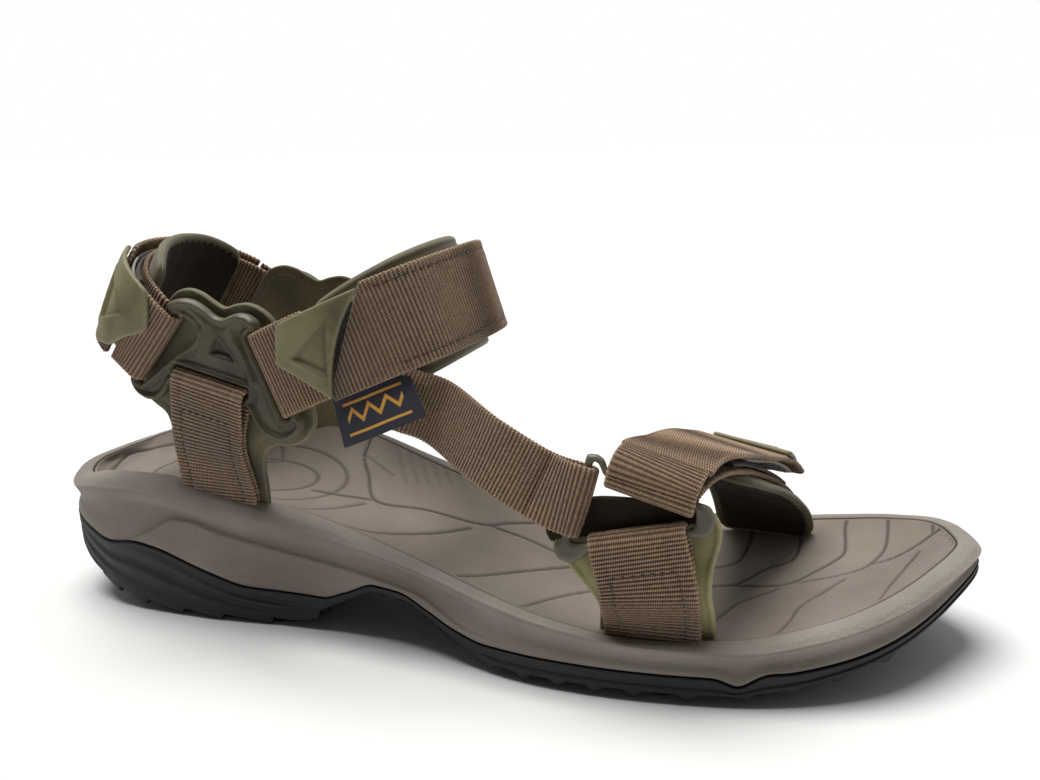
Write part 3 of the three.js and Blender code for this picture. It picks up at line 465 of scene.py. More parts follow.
def rubber(name):
    m = Mat(name, Specular_IOR_Level=0.42)
    c = m.coord()
    big, fine = m.noise(c, 45.0, 4.0), m.noise(c, 2200.0, 3.0, 0.6)
    tone = m.ramp(big, [(0.3, lin(11, 11, 14)), (0.5, lin(15, 15, 19)), (0.75, lin(22, 22, 27))])
    dust = m.ramp(m.noise(c, 260.0, 5.0, 0.7), [(0.6, lin(0, 0, 0)), (0.85, lin(32, 32, 32))])
    # painted highlight on the rounded edges and rib crests
    tone = m.mix(m.mul(m.attr("edge"), 0.5), tone, lin(40, 40, 44))
    tone = m.mix(m.mul(dust, 0.5), tone, lin(66, 65, 65))
    # painted shade in the grooves, between the heel ribs and along the top seam
    tone = m.mix(m.math("MINIMUM", m.attr("groove"), 0.9), tone, lin(7, 7, 9))
    return m.done(tone, m.span(m.add(big, fine), 0.6, 1.4, 0.42, 0.66), m.bump(fine, 0.25, 0.0002))


RUBBER = rubber("outsole_rubber_black")


def velcro(name, dark, light, scale, tape):
    """Hook or loop tape: a fuzzy field with woven tape edges."""
    m = Mat(name, Roughness=0.9, Sheen_Weight=0.4, Sheen_Roughness=0.5)
    u, v = m.uv()
    cell = m.voronoi(grid_vector(m, m.mul(u, 1.5), m.mul(v, 1.5)), scale)
    fuzz = m.noise(grid_vector(m, u, v), 3.2, 5.0, 0.75)
    tone = m.ramp(m.add(m.mul(cell, 0.6), m.mul(fuzz, 0.6)), [(0.25, light), (0.75, dark)])
    tone = m.mix(m.attr("edge"), tone, tape)
    return m.done(tone, m.span(fuzz, 0.2, 0.8, 0.8, 1.0), m.bump(m.add(m.mul(cell, -1.0), fuzz), 0.9, 0.0005))


LOOP_TAPE = velcro("loop_tape", lin(26, 23, 20), lin(66, 58, 50), 1.1, lin(60, 50, 42))
HOOK_TAPE = velcro("hook_tape", lin(16, 16, 16), lin(62, 60, 56), 0.9, lin(176, 170, 158))


def thread(name, dark, light):
    """Twisted sewing thread. u runs along the stitch."""
    m = Mat(name, Roughness=0.6, Sheen_Weight=0.3)
    u, v = m.uv()
    twist = m.math("SINE", m.mul(m.add(u, v), 2 * math.pi * 2.2))
    tone = m.ramp(m.span(twist, -1, 1, 0, 1), [(0.2, dark), (0.85, light)])
    return m.done(tone, m.span(twist, -1, 1, 0.75, 0.5), m.bump(twist, 0.5, 0.00012))


THREAD = thread("thread_brown", lin(40, 29, 22), lin(92, 70, 54))
THREAD_DARK = thread("thread_dark", lin(18, 13, 10), lin(52, 40, 32))
THREAD_GREY = thread("thread_grey", lin(60, 56, 50), lin(120, 114, 104))


def label_cloth(name):
    """Navy woven label with a gold zigzag and two bars: a generic motif."""
    m = Mat(name, Roughness=0.8, Sheen_Weight=0.35, Sheen_Roughness=0.4)
    u, v = m.uv()
    weave = m.mul(m.math("COSINE", m.mul(u, 2 * math.pi / 0.42)),
        m.math("COSINE", m.mul(v, 2 * math.pi / 0.42)))
    zig = m.math("PINGPONG", m.add(u, 1.2), 2.6)
    d = m.math("ABSOLUTE", m.math("SUBTRACT", v, m.add(m.mul(zig, 1.5), -2.6)))
    inside = m.mul(m.math("LESS_THAN", m.math("ABSOLUTE", u), 8.4), m.math("LESS_THAN", d, 0.85))
    rule = m.math("LESS_THAN", m.math("ABSOLUTE", m.math("SUBTRACT", m.math("ABSOLUTE", v), 4.6)), 0.42)
    rule = m.mul(rule, m.math("LESS_THAN", m.math("ABSOLUTE", u), 9.0))
    gold = m.math("MAXIMUM", inside, rule)
    shade = m.span(weave, -1, 1, 0.0, 1.0)
    navy = m.ramp(shade, [(0.0, lin(13, 14, 26)), (1.0, lin(34, 35, 56))])
    yellow = m.ramp(shade, [(0.0, lin(176, 118, 32)), (1.0, lin(228, 172, 70))])
    h = m.add(m.mul(weave, 0.4), m.mul(gold, 1.1))
    return m.done(m.mix(gold, navy, yellow), m.span(shade, 0, 1, 0.85, 0.6), m.bump(h, 0.6, 0.0002))


LABEL = label_cloth("label_navy")


def nylon(name, a, b, scale):
    m = Mat(name, Specular_IOR_Level=0.45)
    c = m.coord()
    streak = m.noise(c, scale, 5.0, 0.6)
    return m.done(m.ramp(streak, [(0.3, a), (0.7, b)]), m.span(streak, 0.2, 0.8, 0.35, 0.6),
        m.bump(streak, 0.2, 0.0003))


SHANK = nylon("shank_nylon", lin(66, 69, 73), lin(98, 101, 105), 300.0)
GEL = nylon("shock_pad_gel", lin(120, 126, 104), lin(150, 156, 132), 120.0)

# ------------------------------------------------------------------ planes
HUB_O, HUB_YAW = np.array([-75.0, -35, 84]), 0.098
HUB_U, HUB_V = np.array([math.cos(HUB_YAW), -math.sin(HUB_YAW), 0]), np.array([0.0, 0, 1])
HUB_N = np.cross(HUB_U, HUB_V)
RING_LEAN = 0.166
RING_O, RING_U = np.array([60.0, -47, 52]), np.array([1.0, 0, 0])
RING_V = np.array([0.0, math.sin(RING_LEAN), math.cos(RING_LEAN)])


def hub_uv(x, z):
    return (x - HUB_O[0]) / HUB_U[0], z - HUB_O[2]


def ring_uv(x, z):
    return x - RING_O[0], (z - RING_O[2]) / RING_V[2]


def hub_p(x, z):
    a, b = hub_uv(x, z)
    return HUB_O + HUB_U * a + HUB_V * b


def ring_p(x, z):
    a, b = ring_uv(x, z)
    return RING_O + RING_U * a + RING_V * b


def hub_d(x, z):
    return unit(HUB_U * x + HUB_V * z)


def ring_d(x, z):
    return unit(RING_U * x + RING_V * z)


def on_plane(o, u, v):
    n = np.cross(u, v)
    return lambda a, b, h: o + np.multiply.outer(a, u) + np.multiply.outer(b, v) + np.multiply.outer(h, n)


REAR_BAR = ((-96.5, 92.2), (0.656, 0.755))
FRONT_BAR = ((-51.1, 85.4), (0.410, -0.912))
LOW_BAR = ((-75.8, 79.0), (0.975, -0.222))
RING_TOP = ((64.3, 60.2), (0.963, -0.270))
RING_LOW = ((61.2, 46.6), (0.975, 0.221))
RING_REAR = ((44.1, 56.0), (0.267, 0.963))

# ------------------------------------------------------------------ bands


def point(x, y, z):
    return np.array([x, y, z], float)


def anchor_band(bar, foot, P, D):
    (m, d) = bar
    W, T, B = D(d[0], d[1]), D(-d[1], d[0]), P(*m)
    deep = foot + point(0, 0, -16)
    mid = (B - T * 14) * 0.88 + foot * 0.12
    flat = unit(point(W[0], 0, W[2] * 0.6))
    return Band([deep + point(0, 0, -6), deep, foot, mid, B, B + T * 7], [flat, flat, flat, W, W, W])


LAT_ANCHOR = anchor_band(LOW_BAR, point(-79.6, -29.3, 44), hub_p, hub_d)
TOE_ANCHOR = anchor_band(RING_LOW, point(64.2, -43.8, 20.5), ring_p, ring_d)


def symmetric(half, half_w, apex, apex_w):
    return Band(
        [*half, apex, *[mirror_y(p) for p in half[::-1]]],
        [*half_w, apex_w, *[mirror_y(p) for p in half_w[::-1]]],
    )


_d = REAR_BAR[1]
heel_w, heel_t, heel_b = hub_d(_d[0], _d[1]), hub_d(-_d[1], _d[0]), hub_p(*REAR_BAR[0])
HEEL = symmetric(
    [heel_b - heel_t * 6, heel_b, heel_b + heel_t * 7, point(-110.5, -27.5, 102.6), point(-117.5, -15, 107)],
    [heel_w, heel_w, heel_w, point(0.56, 0.03, 0.83), point(0.50, 0.02, 0.87)],
    point(-119.8, 0, 108.2),
    point(0.47, 0, 0.88),
)
_d = FRONT_BAR[1]
ins_w, ins_t, ins_b = hub_d(_d[0], _d[1]), hub_d(-_d[1], _d[0]), hub_p(*FRONT_BAR[0])
INSTEP = symmetric(
    [ins_b - ins_t * 6, ins_b, ins_b + ins_t * 9, point(-23, -35.5, 97.2), point(-10, -27.5, 102.4),
    point(-3, -15, 105.2)],
    [ins_w, ins_w, ins_w, point(0.38, -0.08, -0.92), point(0.33, -0.06, -0.94), point(0.28, -0.03, -0.96)],
    point(-0.6, 0, 106.2),
    point(0.27, 0, -0.963),
)
_d = RING_TOP[1]
toe_b, toe_w, toe_t = ring_p(*RING_TOP[0]), ring_d(_d[0], _d[1]), ring_d(-_d[1], _d[0])
TOE = Band(
    [toe_b - toe_t * 6, toe_b, toe_b + toe_t * 3.5, point(67.3, -37.2, 65.2), point(70.4, -24.6, 64),
    point(74, -8, 60.6), point(78, 8, 55),
     point(82, 22, 47.8), point(85.5, 32.5, 39), point(87.5, 38.5, 29), point(88, 40.5, 17),
     point(88, 40.5, 9)],
    [toe_w, toe_w, toe_w, point(0.97, 0.12, -0.15), point(0.97, 0.05, -0.12), point(0.96, 0, -0.22),
    point(0.96, -0.1, -0.25),
     point(0.95, -0.15, -0.2), point(0.96, -0.2, -0.12), point(0.98, -0.18, 0.02),
     point(0.985, -0.16, 0.04), point(0.985, -0.16, 0.04)],
)
_d = RING_REAR[1]
ring_b, side_w, side_t = ring_p(*RING_REAR[0]), ring_d(-_d[0], -_d[1]), ring_d(_d[1], -_d[0])


def beside_instep(x, z, n):
    """The point of the instep band's surface nearest to (x, z), n off it."""
    s = np.arange(10, 50, 0.25)
    P, T, W, N = INSTEP.frame(s)
    off = np.abs((x - P[:, 0]) * T[:, 0] + (z - P[:, 2]) * T[:, 2])
    k = int(np.argmin(off))
    return P[k] + W[k] * (z - P[k, 2]) / W[k, 2] + N[k] * n


SIDE_N = -FOLD_R + 0.7
s1, s2, s3 = beside_instep(-24, 85.5, SIDE_N), beside_instep(-12, 79, SIDE_N), beside_instep(-3, 75,
    SIDE_N - 0.2)
SIDE = Band(
    [s1 + point(-8, 2, 4), s1, s2, s3, point(17, -42.3, 66.8), ring_b - side_t * 9, ring_b,
    ring_b + side_t * 6],
    [point(-0.42, 0, -0.9), point(-0.42, 0, -0.9), point(-0.42, -0.05, -0.9), point(-0.4, -0.1, -0.91),
    point(-0.38, -0.1, -0.92), side_w, side_w, side_w],
)


# ------------------------------------------------------------------ ribbons
def section(half, t, seams=(), across=9, round_r=None):
    """Points (a, b, k) round a ribbon: a across in mm, b height, k = +1 top, -1 bottom, 0 side."""
    r = t / 2 if round_r is None else round_r
    xs = set(np.round(np.linspace(-half + 1.6, half - 1.6, across), 3))
    for s in seams:
        for sgn in (-1, 1):
            for d in (-0.55, -0.28, 0, 0.28, 0.55):
                xs.add(round(sgn * (half - s) + d, 3))
    xs |= {round(-half + 0.9, 3), round(half - 0.9, 3)}
    xs = sorted(x for x in xs if abs(x) <= half - 0.85)
    top = [(x, t / 2, 1) for x in xs]
    cap = [(half - r + r * math.sin(a), t / 2 * math.cos(a), math.cos(a))
        for a in np.linspace(0.35, math.pi - 0.35, 7)]
    low = [(x, -t / 2, -1) for x in xs[::-1]]
    cap2 = [(-a, -b, -k) for a, b, k in cap]
    return np.array(top + cap + low + cap2)


def ribbon(name, C, W, Q, u, half, t, mat, seams=(), rib=0.15, pitch=RIB, waviness=0.0, crown=0.0,
    ends=True, slope=0.0):
    """A woven strip: stations with centre C, width W, outward Q and length u; half may vary along it."""
    n = len(u)
    half = np.broadcast_to(half, (n,)).astype(float)
    h0 = float(half.max())
    sec = section(h0, t, seams)
    a, b, k = sec.T
    A = a[None, :] + np.sign(a)[None, :] * (half - h0)[:, None] * np.minimum(1, np.abs(a) / h0)[None, :]
    # ribs of the weave, rounded, softly uneven
    phase = 2 * math.pi * (u[:, None] + slope * A) / pitch
    wave = np.cos(phase)
    wave = np.sign(wave) * np.abs(wave) ** 0.8
    edge = np.clip((h0 - np.abs(a)) / 0.9, 0, 1)
    disp = rib * wave * (0.35 + 0.65 * edge)[None, :] * k[None, :]
    for s in seams:  # the pull of a seam
        dip = np.exp(-(((np.abs(a) - (h0 - s)) / 0.45) ** 2))
        disp = disp - 0.24 * dip[None, :] * k[None, :]
    if waviness:
        disp = disp + waviness * (np.sin(u / 9.0 + 1.3)[:, None] * np.cos(a / 6.5)[None, :]
            + np.sin(u / 5.3)[:, None] * np.sin(a / 4.0 + 1)[None, :] * 0.5)
    if crown:
        disp = disp - crown * (a / h0)[None, :] ** 2
    side = 0.10 * wave * (1 - edge)[None, :] * np.sign(a)[None, :]
    X = C[:, None, :] + W[:, None, :] * (A + side)[..., None] + Q[:, None, :] * (b[None, :] + disp)[..., None]
    m = len(a)
    verts = X.reshape(-1, 3)
    faces = grid_faces(n, m)
    uv = np.stack([np.repeat(u, m), np.tile(a, n)], -1)
    # a mask that grows towards the selvedges, where the webbing finish turns lighter
    selvedge_lightening = np.tile(np.clip(1 - (h0 - np.abs(a)) / 1.1, 0, 1), n)
    if ends:
        for row, flip in ((0, True), (n - 1, False)):
            # close each cut end with one flat face
            base = row * m
            loop = list(range(base, base + m))
            faces.append(loop[::-1] if flip else loop)
    return mesh(name, verts, faces, uv, attributes={"edge": selvedge_lightening}, materials=[mat])


def straight(band, s0, s1, n, step=0.2):
    """Stations of a strip that runs along the band at height n."""
    s = np.linspace(s0, s1, max(3, int(abs(s1 - s0) / step)))
    P, T, W, N = band.frame(s)
    h = n(s) if callable(n) else np.full(len(s), float(n))
    C = P + N * h[:, None]
    # outward direction turned with the slope of the height
    dh = np.gradient(h, s)
    Q = unit(N - T * dh[:, None])
    return C, W, Q, s


def folded(band, stub0=0.0, stub1=0.0, h=None, s0=0.0, s1=None, step=0.2):
    """Stations of webbing folded round a bar at the start, the end, or both."""
    L = band.L
    s1 = L if s1 is None else s1
    h = h or (lambda s: np.full(np.shape(s), FOLD_R))
    parts = []
    if stub0:
        s = np.arange(stub0, 0, -step)
        P, T, W, N = band.frame(s)
        parts.append((P + N * h(s)[:, None], W, N))
        P, T, W, N = (x[0] for x in band.frame(np.array([0.0])))
        r = float(h(np.array([0.0]))[0])
        a = np.linspace(0, math.pi, int(math.pi * r / step))
        q = np.outer(np.cos(a), N) - np.outer(np.sin(a), T)
        parts.append((P + q * r, np.tile(W, (len(a), 1)), q))
        s0 = 0.0
    s = np.arange(s0, s1, step)
    P, T, W, N = band.frame(s)
    parts.append((P - N * h(s)[:, None], W, -N))
    if stub1:
        P, T, W, N = (x[0] for x in band.frame(np.array([L])))
        r = float(h(np.array([L]))[0])
        a = np.linspace(math.pi, 0, int(math.pi * r / step))
        q = np.outer(np.cos(a), N) + np.outer(np.sin(a), T)
        parts.append((P + q * r, np.tile(W, (len(a), 1)), q))
        s = np.arange(L, L - stub1, -step)
        P, T, W, N = band.frame(s)
        parts.append((P + N * h(s)[:, None], W, N))
    C = np.vstack([p[0] for p in parts])
    W = np.vstack([p[1] for p in parts])
    Q = np.vstack([p[2] for p in parts])
    keep = np.concatenate([[True], np.linalg.norm(np.diff(C, axis=0), axis=1) > 0.02])
    C, W, Q = C[keep], W[keep], Q[keep]
    u = np.concatenate([[0], np.cumsum(np.linalg.norm(np.diff(C, axis=0), axis=1))])
    return C, W, Q, u


# ------------------------------------------------------------------ stitches
def stitches(name, mat, runs, length=2.2, gap=0.9, r=0.24, lift=0.0):
    """Runs of small sewn stitches. Each run is a list of points with outward normals."""
    verts, faces, uv = [], [], []
    ring = 6
    prof = [(0.0, 0.35, -0.28), (0.14, 0.85, -0.02), (0.35, 1.0, 0.12), (0.65, 1.0, 0.12),
        (0.86, 0.85, -0.02), (1.0, 0.35, -0.28)]
    for P, N in runs:
        d = np.concatenate([[0], np.cumsum(np.linalg.norm(np.diff(P, axis=0), axis=1))])
        at = 0.0
        while at + length <= d[-1]:
            q = [np.stack([np.interp(at + length * f, d, P[:, k]) for k in range(3)]) for f, _, _ in prof]
            m = unit(np.stack([np.interp(at + length / 2, d, N[:, k]) for k in range(3)]))
            t = unit(q[-1] - q[0])
            w = np.cross(m, t)
            base = len(verts)
            for (f, s, up), c in zip(prof, q):
                for k in range(ring):
                    a = 2 * math.pi * k / ring
                    verts.append(c + w * math.cos(a) * r * s * 1.15
                        + m * (math.sin(a) * r * s * 0.8 + up * r * 1.6 + lift))
                    uv.append((at + f * length, a / 6.283 * 0.5))
            faces += grid_faces(len(prof), ring, start=base)
            faces.append(list(range(base, base + ring))[::-1])
            last = base + (len(prof) - 1) * ring
            faces.append(list(range(last, last + ring)))
            at += length + gap
    return mesh(name, verts, faces, uv, materials=[mat])


def band_run(band, s, v, n):
    """A run of points with normals along a band; any of s, v and n may be arrays."""
    s = np.asarray(s, float)
    v, n = np.broadcast_to(v, s.shape), np.broadcast_to(n, s.shape)
    P, _, W, N = band.frame(s)
    return P + W * v[:, None] + N * n[:, None], N


# ------------------------------------------------------------------ relief plates
def seg_distance(p, loops):
    """Distance of each point from the edges of the loops."""
    best = np.full(len(p), 1e9)
    for loop in loops:
        a = np.asarray(loop, float)
        b = np.roll(a, -1, axis=0)
        ab = b - a
        den = np.maximum((ab**2).sum(1), 1e-12)
        for k in range(0, len(p), 4000):
            q = p[k : k + 4000, None, :]
            t = np.clip(((q - a) * ab).sum(-1) / den, 0, 1)
            d = np.linalg.norm(q - (a + ab * t[..., None]), axis=-1).min(1)
            best[k : k + 4000] = np.minimum(best[k : k + 4000], d)
    return best


def inside(p, loop):
    a = np.asarray(loop, float)
    b = np.roll(a, -1, axis=0)
    x, y = p[:, 0:1], p[:, 1:2]
    cross = (a[:, 1] > y) != (b[:, 1] > y)
    with np.errstate(divide="ignore", invalid="ignore"):
        xi = (b[:, 0] - a[:, 0]) * (y - a[:, 1]) / (b[:, 1] - a[:, 1]) + a[:, 0]
    return (cross & (x < xi)).sum(1) % 2 == 1


def resample(loop, step):
    a = np.asarray(loop, float)
    a = np.vstack([a, a[:1]])
    d = np.concatenate([[0], np.cumsum(np.linalg.norm(np.diff(a, axis=0), axis=1))])
    n = max(8, int(round(d[-1] / step)))
    t = np.linspace(0, d[-1], n, endpoint=False)
    return np.stack([np.interp(t, d, a[:, 0]), np.interp(t, d, a[:, 1])], -1)


def soften(points, count):
    """A closed loop with rounded corners through the points."""
    p = catmull(np.c_[np.asarray(points, float), np.zeros(len(points))], np.arange(count) / count,
        closed=True)
    return p[:, :2]


def rounded(points, radius, steps=5):
    """A polygon with its corners cut to an arc of about the radius."""
    p = np.asarray(points, float)
    out = []
    n = len(p)
    for i in range(n):
        a, b, c = p[i - 1], p[i], p[(i + 1) % n]
        la, lc = np.linalg.norm(a - b), np.linalg.norm(c - b)
        r = min(radius, la * 0.45, lc * 0.45)
        q0, q1 = b + (a - b) / la * r, b + (c - b) / lc * r
        for t in np.linspace(0, 1, steps):
            out.append(q0 * (1 - t) ** 2 + 2 * b * t * (1 - t) + q1 * t * t)
    return np.array(out)


def relief(name, loops, place, top, low, mat, step=0.7, bevel=0.5, back=None, hollow=None, uv_scale=1.0,
    extra=()):
    """A plate from an outline and holes.

    top(x, y, d) and low(x, y, d) are heights, d the distance from the edge.
    """
    loops = [resample(l, step) for l in loops]
    outer, holes = loops[0], loops[1:]
    lo, hi = outer.min(0), outer.max(0)
    rings = []
    for f in (0.12, 0.35, 0.65, 1.0):
        for l in loops:
            nxt, prv = np.roll(l, -1, 0), np.roll(l, 1, 0)
            t = unit(nxt - prv)
            for sgn in (1, -1):
                rings.append(l + np.c_[-t[:, 1], t[:, 0]] * bevel * f * sgn)
    rings = np.vstack(rings)
    d = seg_distance(rings, loops)
    ok = (d > bevel * 0.1) & inside(rings, outer)
    for h in holes:
        ok &= ~inside(rings, h)
    # drop ring points that came too close to another edge
    want = np.concatenate([np.full(len(l) * 2, f * bevel) for f in (0.12, 0.35, 0.65, 1.0) for l in loops])
    ok &= d > want * 0.85
    rings = rings[ok]
    gx, gy = np.meshgrid(np.arange(lo[0], hi[0], step), np.arange(lo[1], hi[1], step * 0.88), indexing="ij")
    gx = gx + (np.arange(gx.shape[1]) % 2)[None, :] * step / 2
    g = np.c_[gx.ravel(), gy.ravel()]
    if len(extra):
        g = np.vstack([g, np.asarray(extra, float)])
    dg = seg_distance(g, loops)
    ok = inside(g, outer) & (dg > bevel + step * 0.45)
    for h in holes:
        ok &= ~inside(g, h)
    g = g[ok]
    pts = np.vstack(loops + [rings, g])
    edges, at = [], 0
    for l in loops:
        edges += [(at + i, at + (i + 1) % len(l)) for i in range(len(l))]
        at += len(l)
    v, _, f, *_ = delaunay_2d_cdt([Vector(p) for p in pts], edges, [], 0, 1e-5)
    v = np.array([(p.x, p.y) for p in v])
    f = np.array([t for t in f if len(t) == 3])
    c = v[f].mean(1)
    ok = inside(c, outer)
    for h in holes:
        ok &= ~inside(c, h)
    f = f[ok]
    used = np.unique(f)
    remap = -np.ones(len(v), int)
    remap[used] = np.arange(len(used))
    v, f = v[used], remap[f]
    a, b, c3 = v[f[:, 0]], v[f[:, 1]], v[f[:, 2]]
    flip = (b[:, 0] - a[:, 0]) * (c3[:, 1] - a[:, 1]) - (b[:, 1] - a[:, 1]) * (c3[:, 0] - a[:, 0]) < 0
    f[flip] = f[flip][:, ::-1]
    d = seg_distance(v, loops)
    r = np.clip(1 - d / bevel, 0, 1)
    drop = bevel * (1 - np.sqrt(np.maximum(0, 1 - r**2)))
    ht = top(v[:, 0], v[:, 1], d) - drop
    hl = low(v[:, 0], v[:, 1], d) + drop
    up, dn = place(v[:, 0], v[:, 1], ht), place(v[:, 0], v[:, 1], hl)
    n = len(v)
    faces = f.tolist() + (f[:, ::-1] + n).tolist()
    count = {}
    for t in f:
        for i in range(3):
            e = (int(t[i]), int(t[(i + 1) % 3]))
            count[tuple(sorted(e))] = count.get(tuple(sorted(e)), 0) + 1
    walls = 0
    for t in f:
        for i in range(3):
            x, y = int(t[i]), int(t[(i + 1) % 3])
            if count[tuple(sorted((x, y)))] == 1:
                faces.append((y, x, x + n, y + n))
                walls += 1
    mats = [mat] if back is None else [mat, back]
    fm = None
    if back is not None:
        fm = [0] * len(f) + [1] * len(f) + [0] * walls
    # painted shade of the hollows on the top face, and a painted highlight along the rounded edge
    hollow_shade_values = np.zeros(n) if hollow is None else hollow(v[:, 0], v[:, 1], d)
    at = {"hollow": np.concatenate([hollow_shade_values, np.zeros(n)]),
        "edge": np.tile(np.exp(-((d - bevel * 0.5) / (bevel * 0.7)) ** 2), 2)}
    return mesh(name, np.vstack([up, dn]), faces, np.tile(v * uv_scale, (2, 1)), attributes=at,
        materials=mats, face_material=fm)


def ridge(d, at, width):
    return np.exp(-(((d - at) / width) ** 2))


def line_distance(x, y, pts):
    """Distance of points from an open polyline."""
    p = np.c_[np.ravel(x), np.ravel(y)]
    a, b = np.asarray(pts[:-1], float), np.asarray(pts[1:], float)
    ab = b - a
    den = np.maximum((ab**2).sum(1), 1e-12)
    out = np.zeros(len(p))
    for k in range(0, len(p), 6000):
        q = p[k : k + 6000, None, :]
        t = np.clip(((q - a) * ab).sum(-1) / den, 0, 1)
        out[k : k + 6000] = np.linalg.norm(q - (a + ab * t[..., None]), axis=-1).min(1)
    return out.reshape(np.shape(x))

# ------------------------------------------------------------------ sole
SIDE_X = [-152.5, -145.1, -125.8, -88.8, -47.8, -8, 31, 65.8, 101.2, 126.9, 144.6, 152.5]
LAT_Y = [0.5, -20.3, -31, -34.8, -33.4, -40.1, -50.0, -50.8, -44.3, -30.1, -6.4, 13.6]
MED_Y = [0.5, 25.4, 33.5, 37.2, 33.0, 33.4, 44.0, 50.8, 49.1, 43, 30, 13.6]
crest_lat = table([(-152.5, 40.5), (-143.8, 39.5), (-125, 42.5), (-105, 43), (-80, 39), (-56.5, 35),
    (-30, 31), (-8, 27.5), (15, 23), (40.5, 19), (65, 16.5), (89, 16.6), (110, 19.5), (130, 24), (147, 28),
    (152.5, 29.6)])
crest_med = table([(-152.5, 40.5), (-143.8, 42), (-125, 45), (-105, 46.5), (-80, 47.5), (-56.5, 46.5),
    (-30, 40), (-8, 33.5), (15, 26.5), (40.5, 21.8), (65, 20.5), (89, 21.5), (110, 24.2), (130, 27.8),
    (147, 31), (152.5, 29.6)])
lift = table([(-152.5, 2.5), (-105, 4), (-60, 4), (-38, 2.5), (-18, 0.5), (5, -1), (45, -1.2), (80, 0.5),
    (110, 1.5), (152.5, 1.5)])
cup = table([(-152.5, 0), (-146, 1.5), (-138, 5), (-125, 8), (-100, 8.5), (-70, 7), (-40, 4.5), (-20, 3),
    (20, 2.6), (60, 2.4), (110, 2.4), (135, 2), (145, 0.8), (152.5, 0)])
rubber_top = table([(-152.5, 32), (-146, 29), (-134.7, 25), (-125, 22.6), (-113, 24), (-105, 23),
    (-87, 17.3), (-69, 12.4), (-44, 11.6), (-35, 14.6), (-24, 19), (-15, 18.6), (-5, 14.6), (4, 10.8),
    (15, 8.5), (39, 8.5), (78, 8.3), (94, 9.1), (117, 12.5), (134, 17.2), (150, 24.4), (152.5, 26)])
rubber_base = table([(-152.5, 25), (-146, 19), (-138, 13), (-129, 9), (-117, 5.5), (-105, 3.6), (-88, 2.8),
    (-64, 2.8), (-52.8, 4), (-44.7, 7.2), (-35, 12.2), (-24, 16.5), (-15, 16.1), (-5, 12.1), (4, 7.2),
    (13.6, 4), (22, 3), (36, 2.8), (78, 2.8), (90, 3.4), (104, 5.5), (117, 8.7), (125, 11), (136, 15),
    (144, 18.5), (152.5, 23)])
ridge_line = table([(-152.5, 22), (-120, 24), (-107, 28.5), (-101, 31.8), (-96, 34.0), (-90, 33.8),
    (-79, 30.7), (-68, 28.3), (-54, 25.6), (-43, 24.1), (-30, 22.7), (-10, 20), (10, 12), (152.5, 2)])

RUNGS = 560
N2 = RUNGS * 2
_pts = (
    [(x, y, 0) for x, y in zip(SIDE_X, LAT_Y)]
    + [(SIDE_X[i], MED_Y[i], 0) for i in range(len(SIDE_X) - 2, 0, -1)]
)
_t = np.arange(N2) / N2
EDGE = catmull(_pts, _t, closed=True)[:, :2]
_q = unit(catmull(_pts, _t + 0.001, closed=True) - catmull(_pts, _t - 0.001, closed=True))
INWARD = np.c_[-_q[:, 1], _q[:, 0]]
if ((-100 - EDGE[N2 // 22, 0]) * INWARD[N2 // 22, 0] - EDGE[N2 // 22, 1] * INWARD[N2 // 22, 1]) < 0:
    INWARD = -INWARD
EX = EDGE[:, 0]
_lat = np.arange(N2) < RUNGS
CREST = np.where(_lat, crest_lat(EX), crest_med(EX))
EDGE_Z = CREST + lift(EX)


def sole_loop(inset, z):
    inset = np.broadcast_to(inset, (N2,))
    p = EDGE + INWARD * inset[:, None]
    return np.c_[p, np.broadcast_to(z, (N2,))]


def ladder(loop, across, dip, bow=3):
    """Points inside a loop, in rows between its two sides; returns rows of points (x, y, z)."""
    A, B = loop[1:RUNGS], loop[N2 - 1 : RUNGS : -1]
    v = np.linspace(0, 1, across + 1)[1:-1]
    p = A[:, None, :] * (1 - v)[None, :, None] + B[:, None, :] * v[None, :, None]
    x = (A[:, 0] + B[:, 0]) / 2
    p[..., 2] -= dip(x)[:, None] * (1 - np.abs(2 * v - 1) ** bow)[None, :]
    return p


def cap_faces(first, inner, across, up):
    """Faces that close a loop: first is the loop's first vertex, inner the first of the ladder's."""
    def vid(r, j):
        if j == 0:
            return first + r
        if j == across:
            return first + (N2 - r) % N2
        return inner + (r - 1) * (across - 1) + j - 1

    faces = []
    for r in range(1, RUNGS - 1):
        for j in range(across):
            q = [vid(r, j), vid(r, j + 1), vid(r + 1, j + 1), vid(r + 1, j)]
            faces.append(q if up else q[::-1])
    for r, tip in ((1, first), (RUNGS - 1, first + RUNGS)):
        for j in range(across):
            q = [tip, vid(r, j), vid(r, j + 1)]
            faces.append(q if (up == (r != 1)) else q[::-1])
    return faces


def stacked(name, loops, across_low, across_top, dip_low, dip_top, mats, attributes=None, top_move=None,
    low_move=None):
    """A closed body of stacked loops, with a ladder of quads at the bottom and at the top."""
    verts = [np.asarray(l, float) for l in loops]
    faces = grid_faces(len(loops), N2)
    base = len(loops) * N2
    low = ladder(loops[0], across_low, dip_low)
    if low_move is not None:
        low = low_move(low)
    top = ladder(loops[-1], across_top, dip_top)
    extra = {}
    if top_move is not None:
        top, extra = top_move(top)
    faces += cap_faces(0, base, across_low, False)
    n_low = low.shape[0] * low.shape[1]
    faces += cap_faces((len(loops) - 1) * N2, base + n_low, across_top, True)
    allv = np.vstack(verts + [low.reshape(-1, 3), top.reshape(-1, 3)])
    at = {}
    for key, rows in (attributes or {}).items():
        side = np.concatenate([np.broadcast_to(r, (N2,)) for r in rows])
        at[key] = np.concatenate([side, np.zeros(n_low), np.zeros(top.shape[0] * top.shape[1])])
    for key, val in extra.items():
        if key not in at:
            at[key] = np.zeros(len(allv))
        at[key][base + n_low :] = val.ravel()
    return mesh(name, allv, faces, attributes=at, materials=mats)


flat = lambda x: np.zeros_like(x)

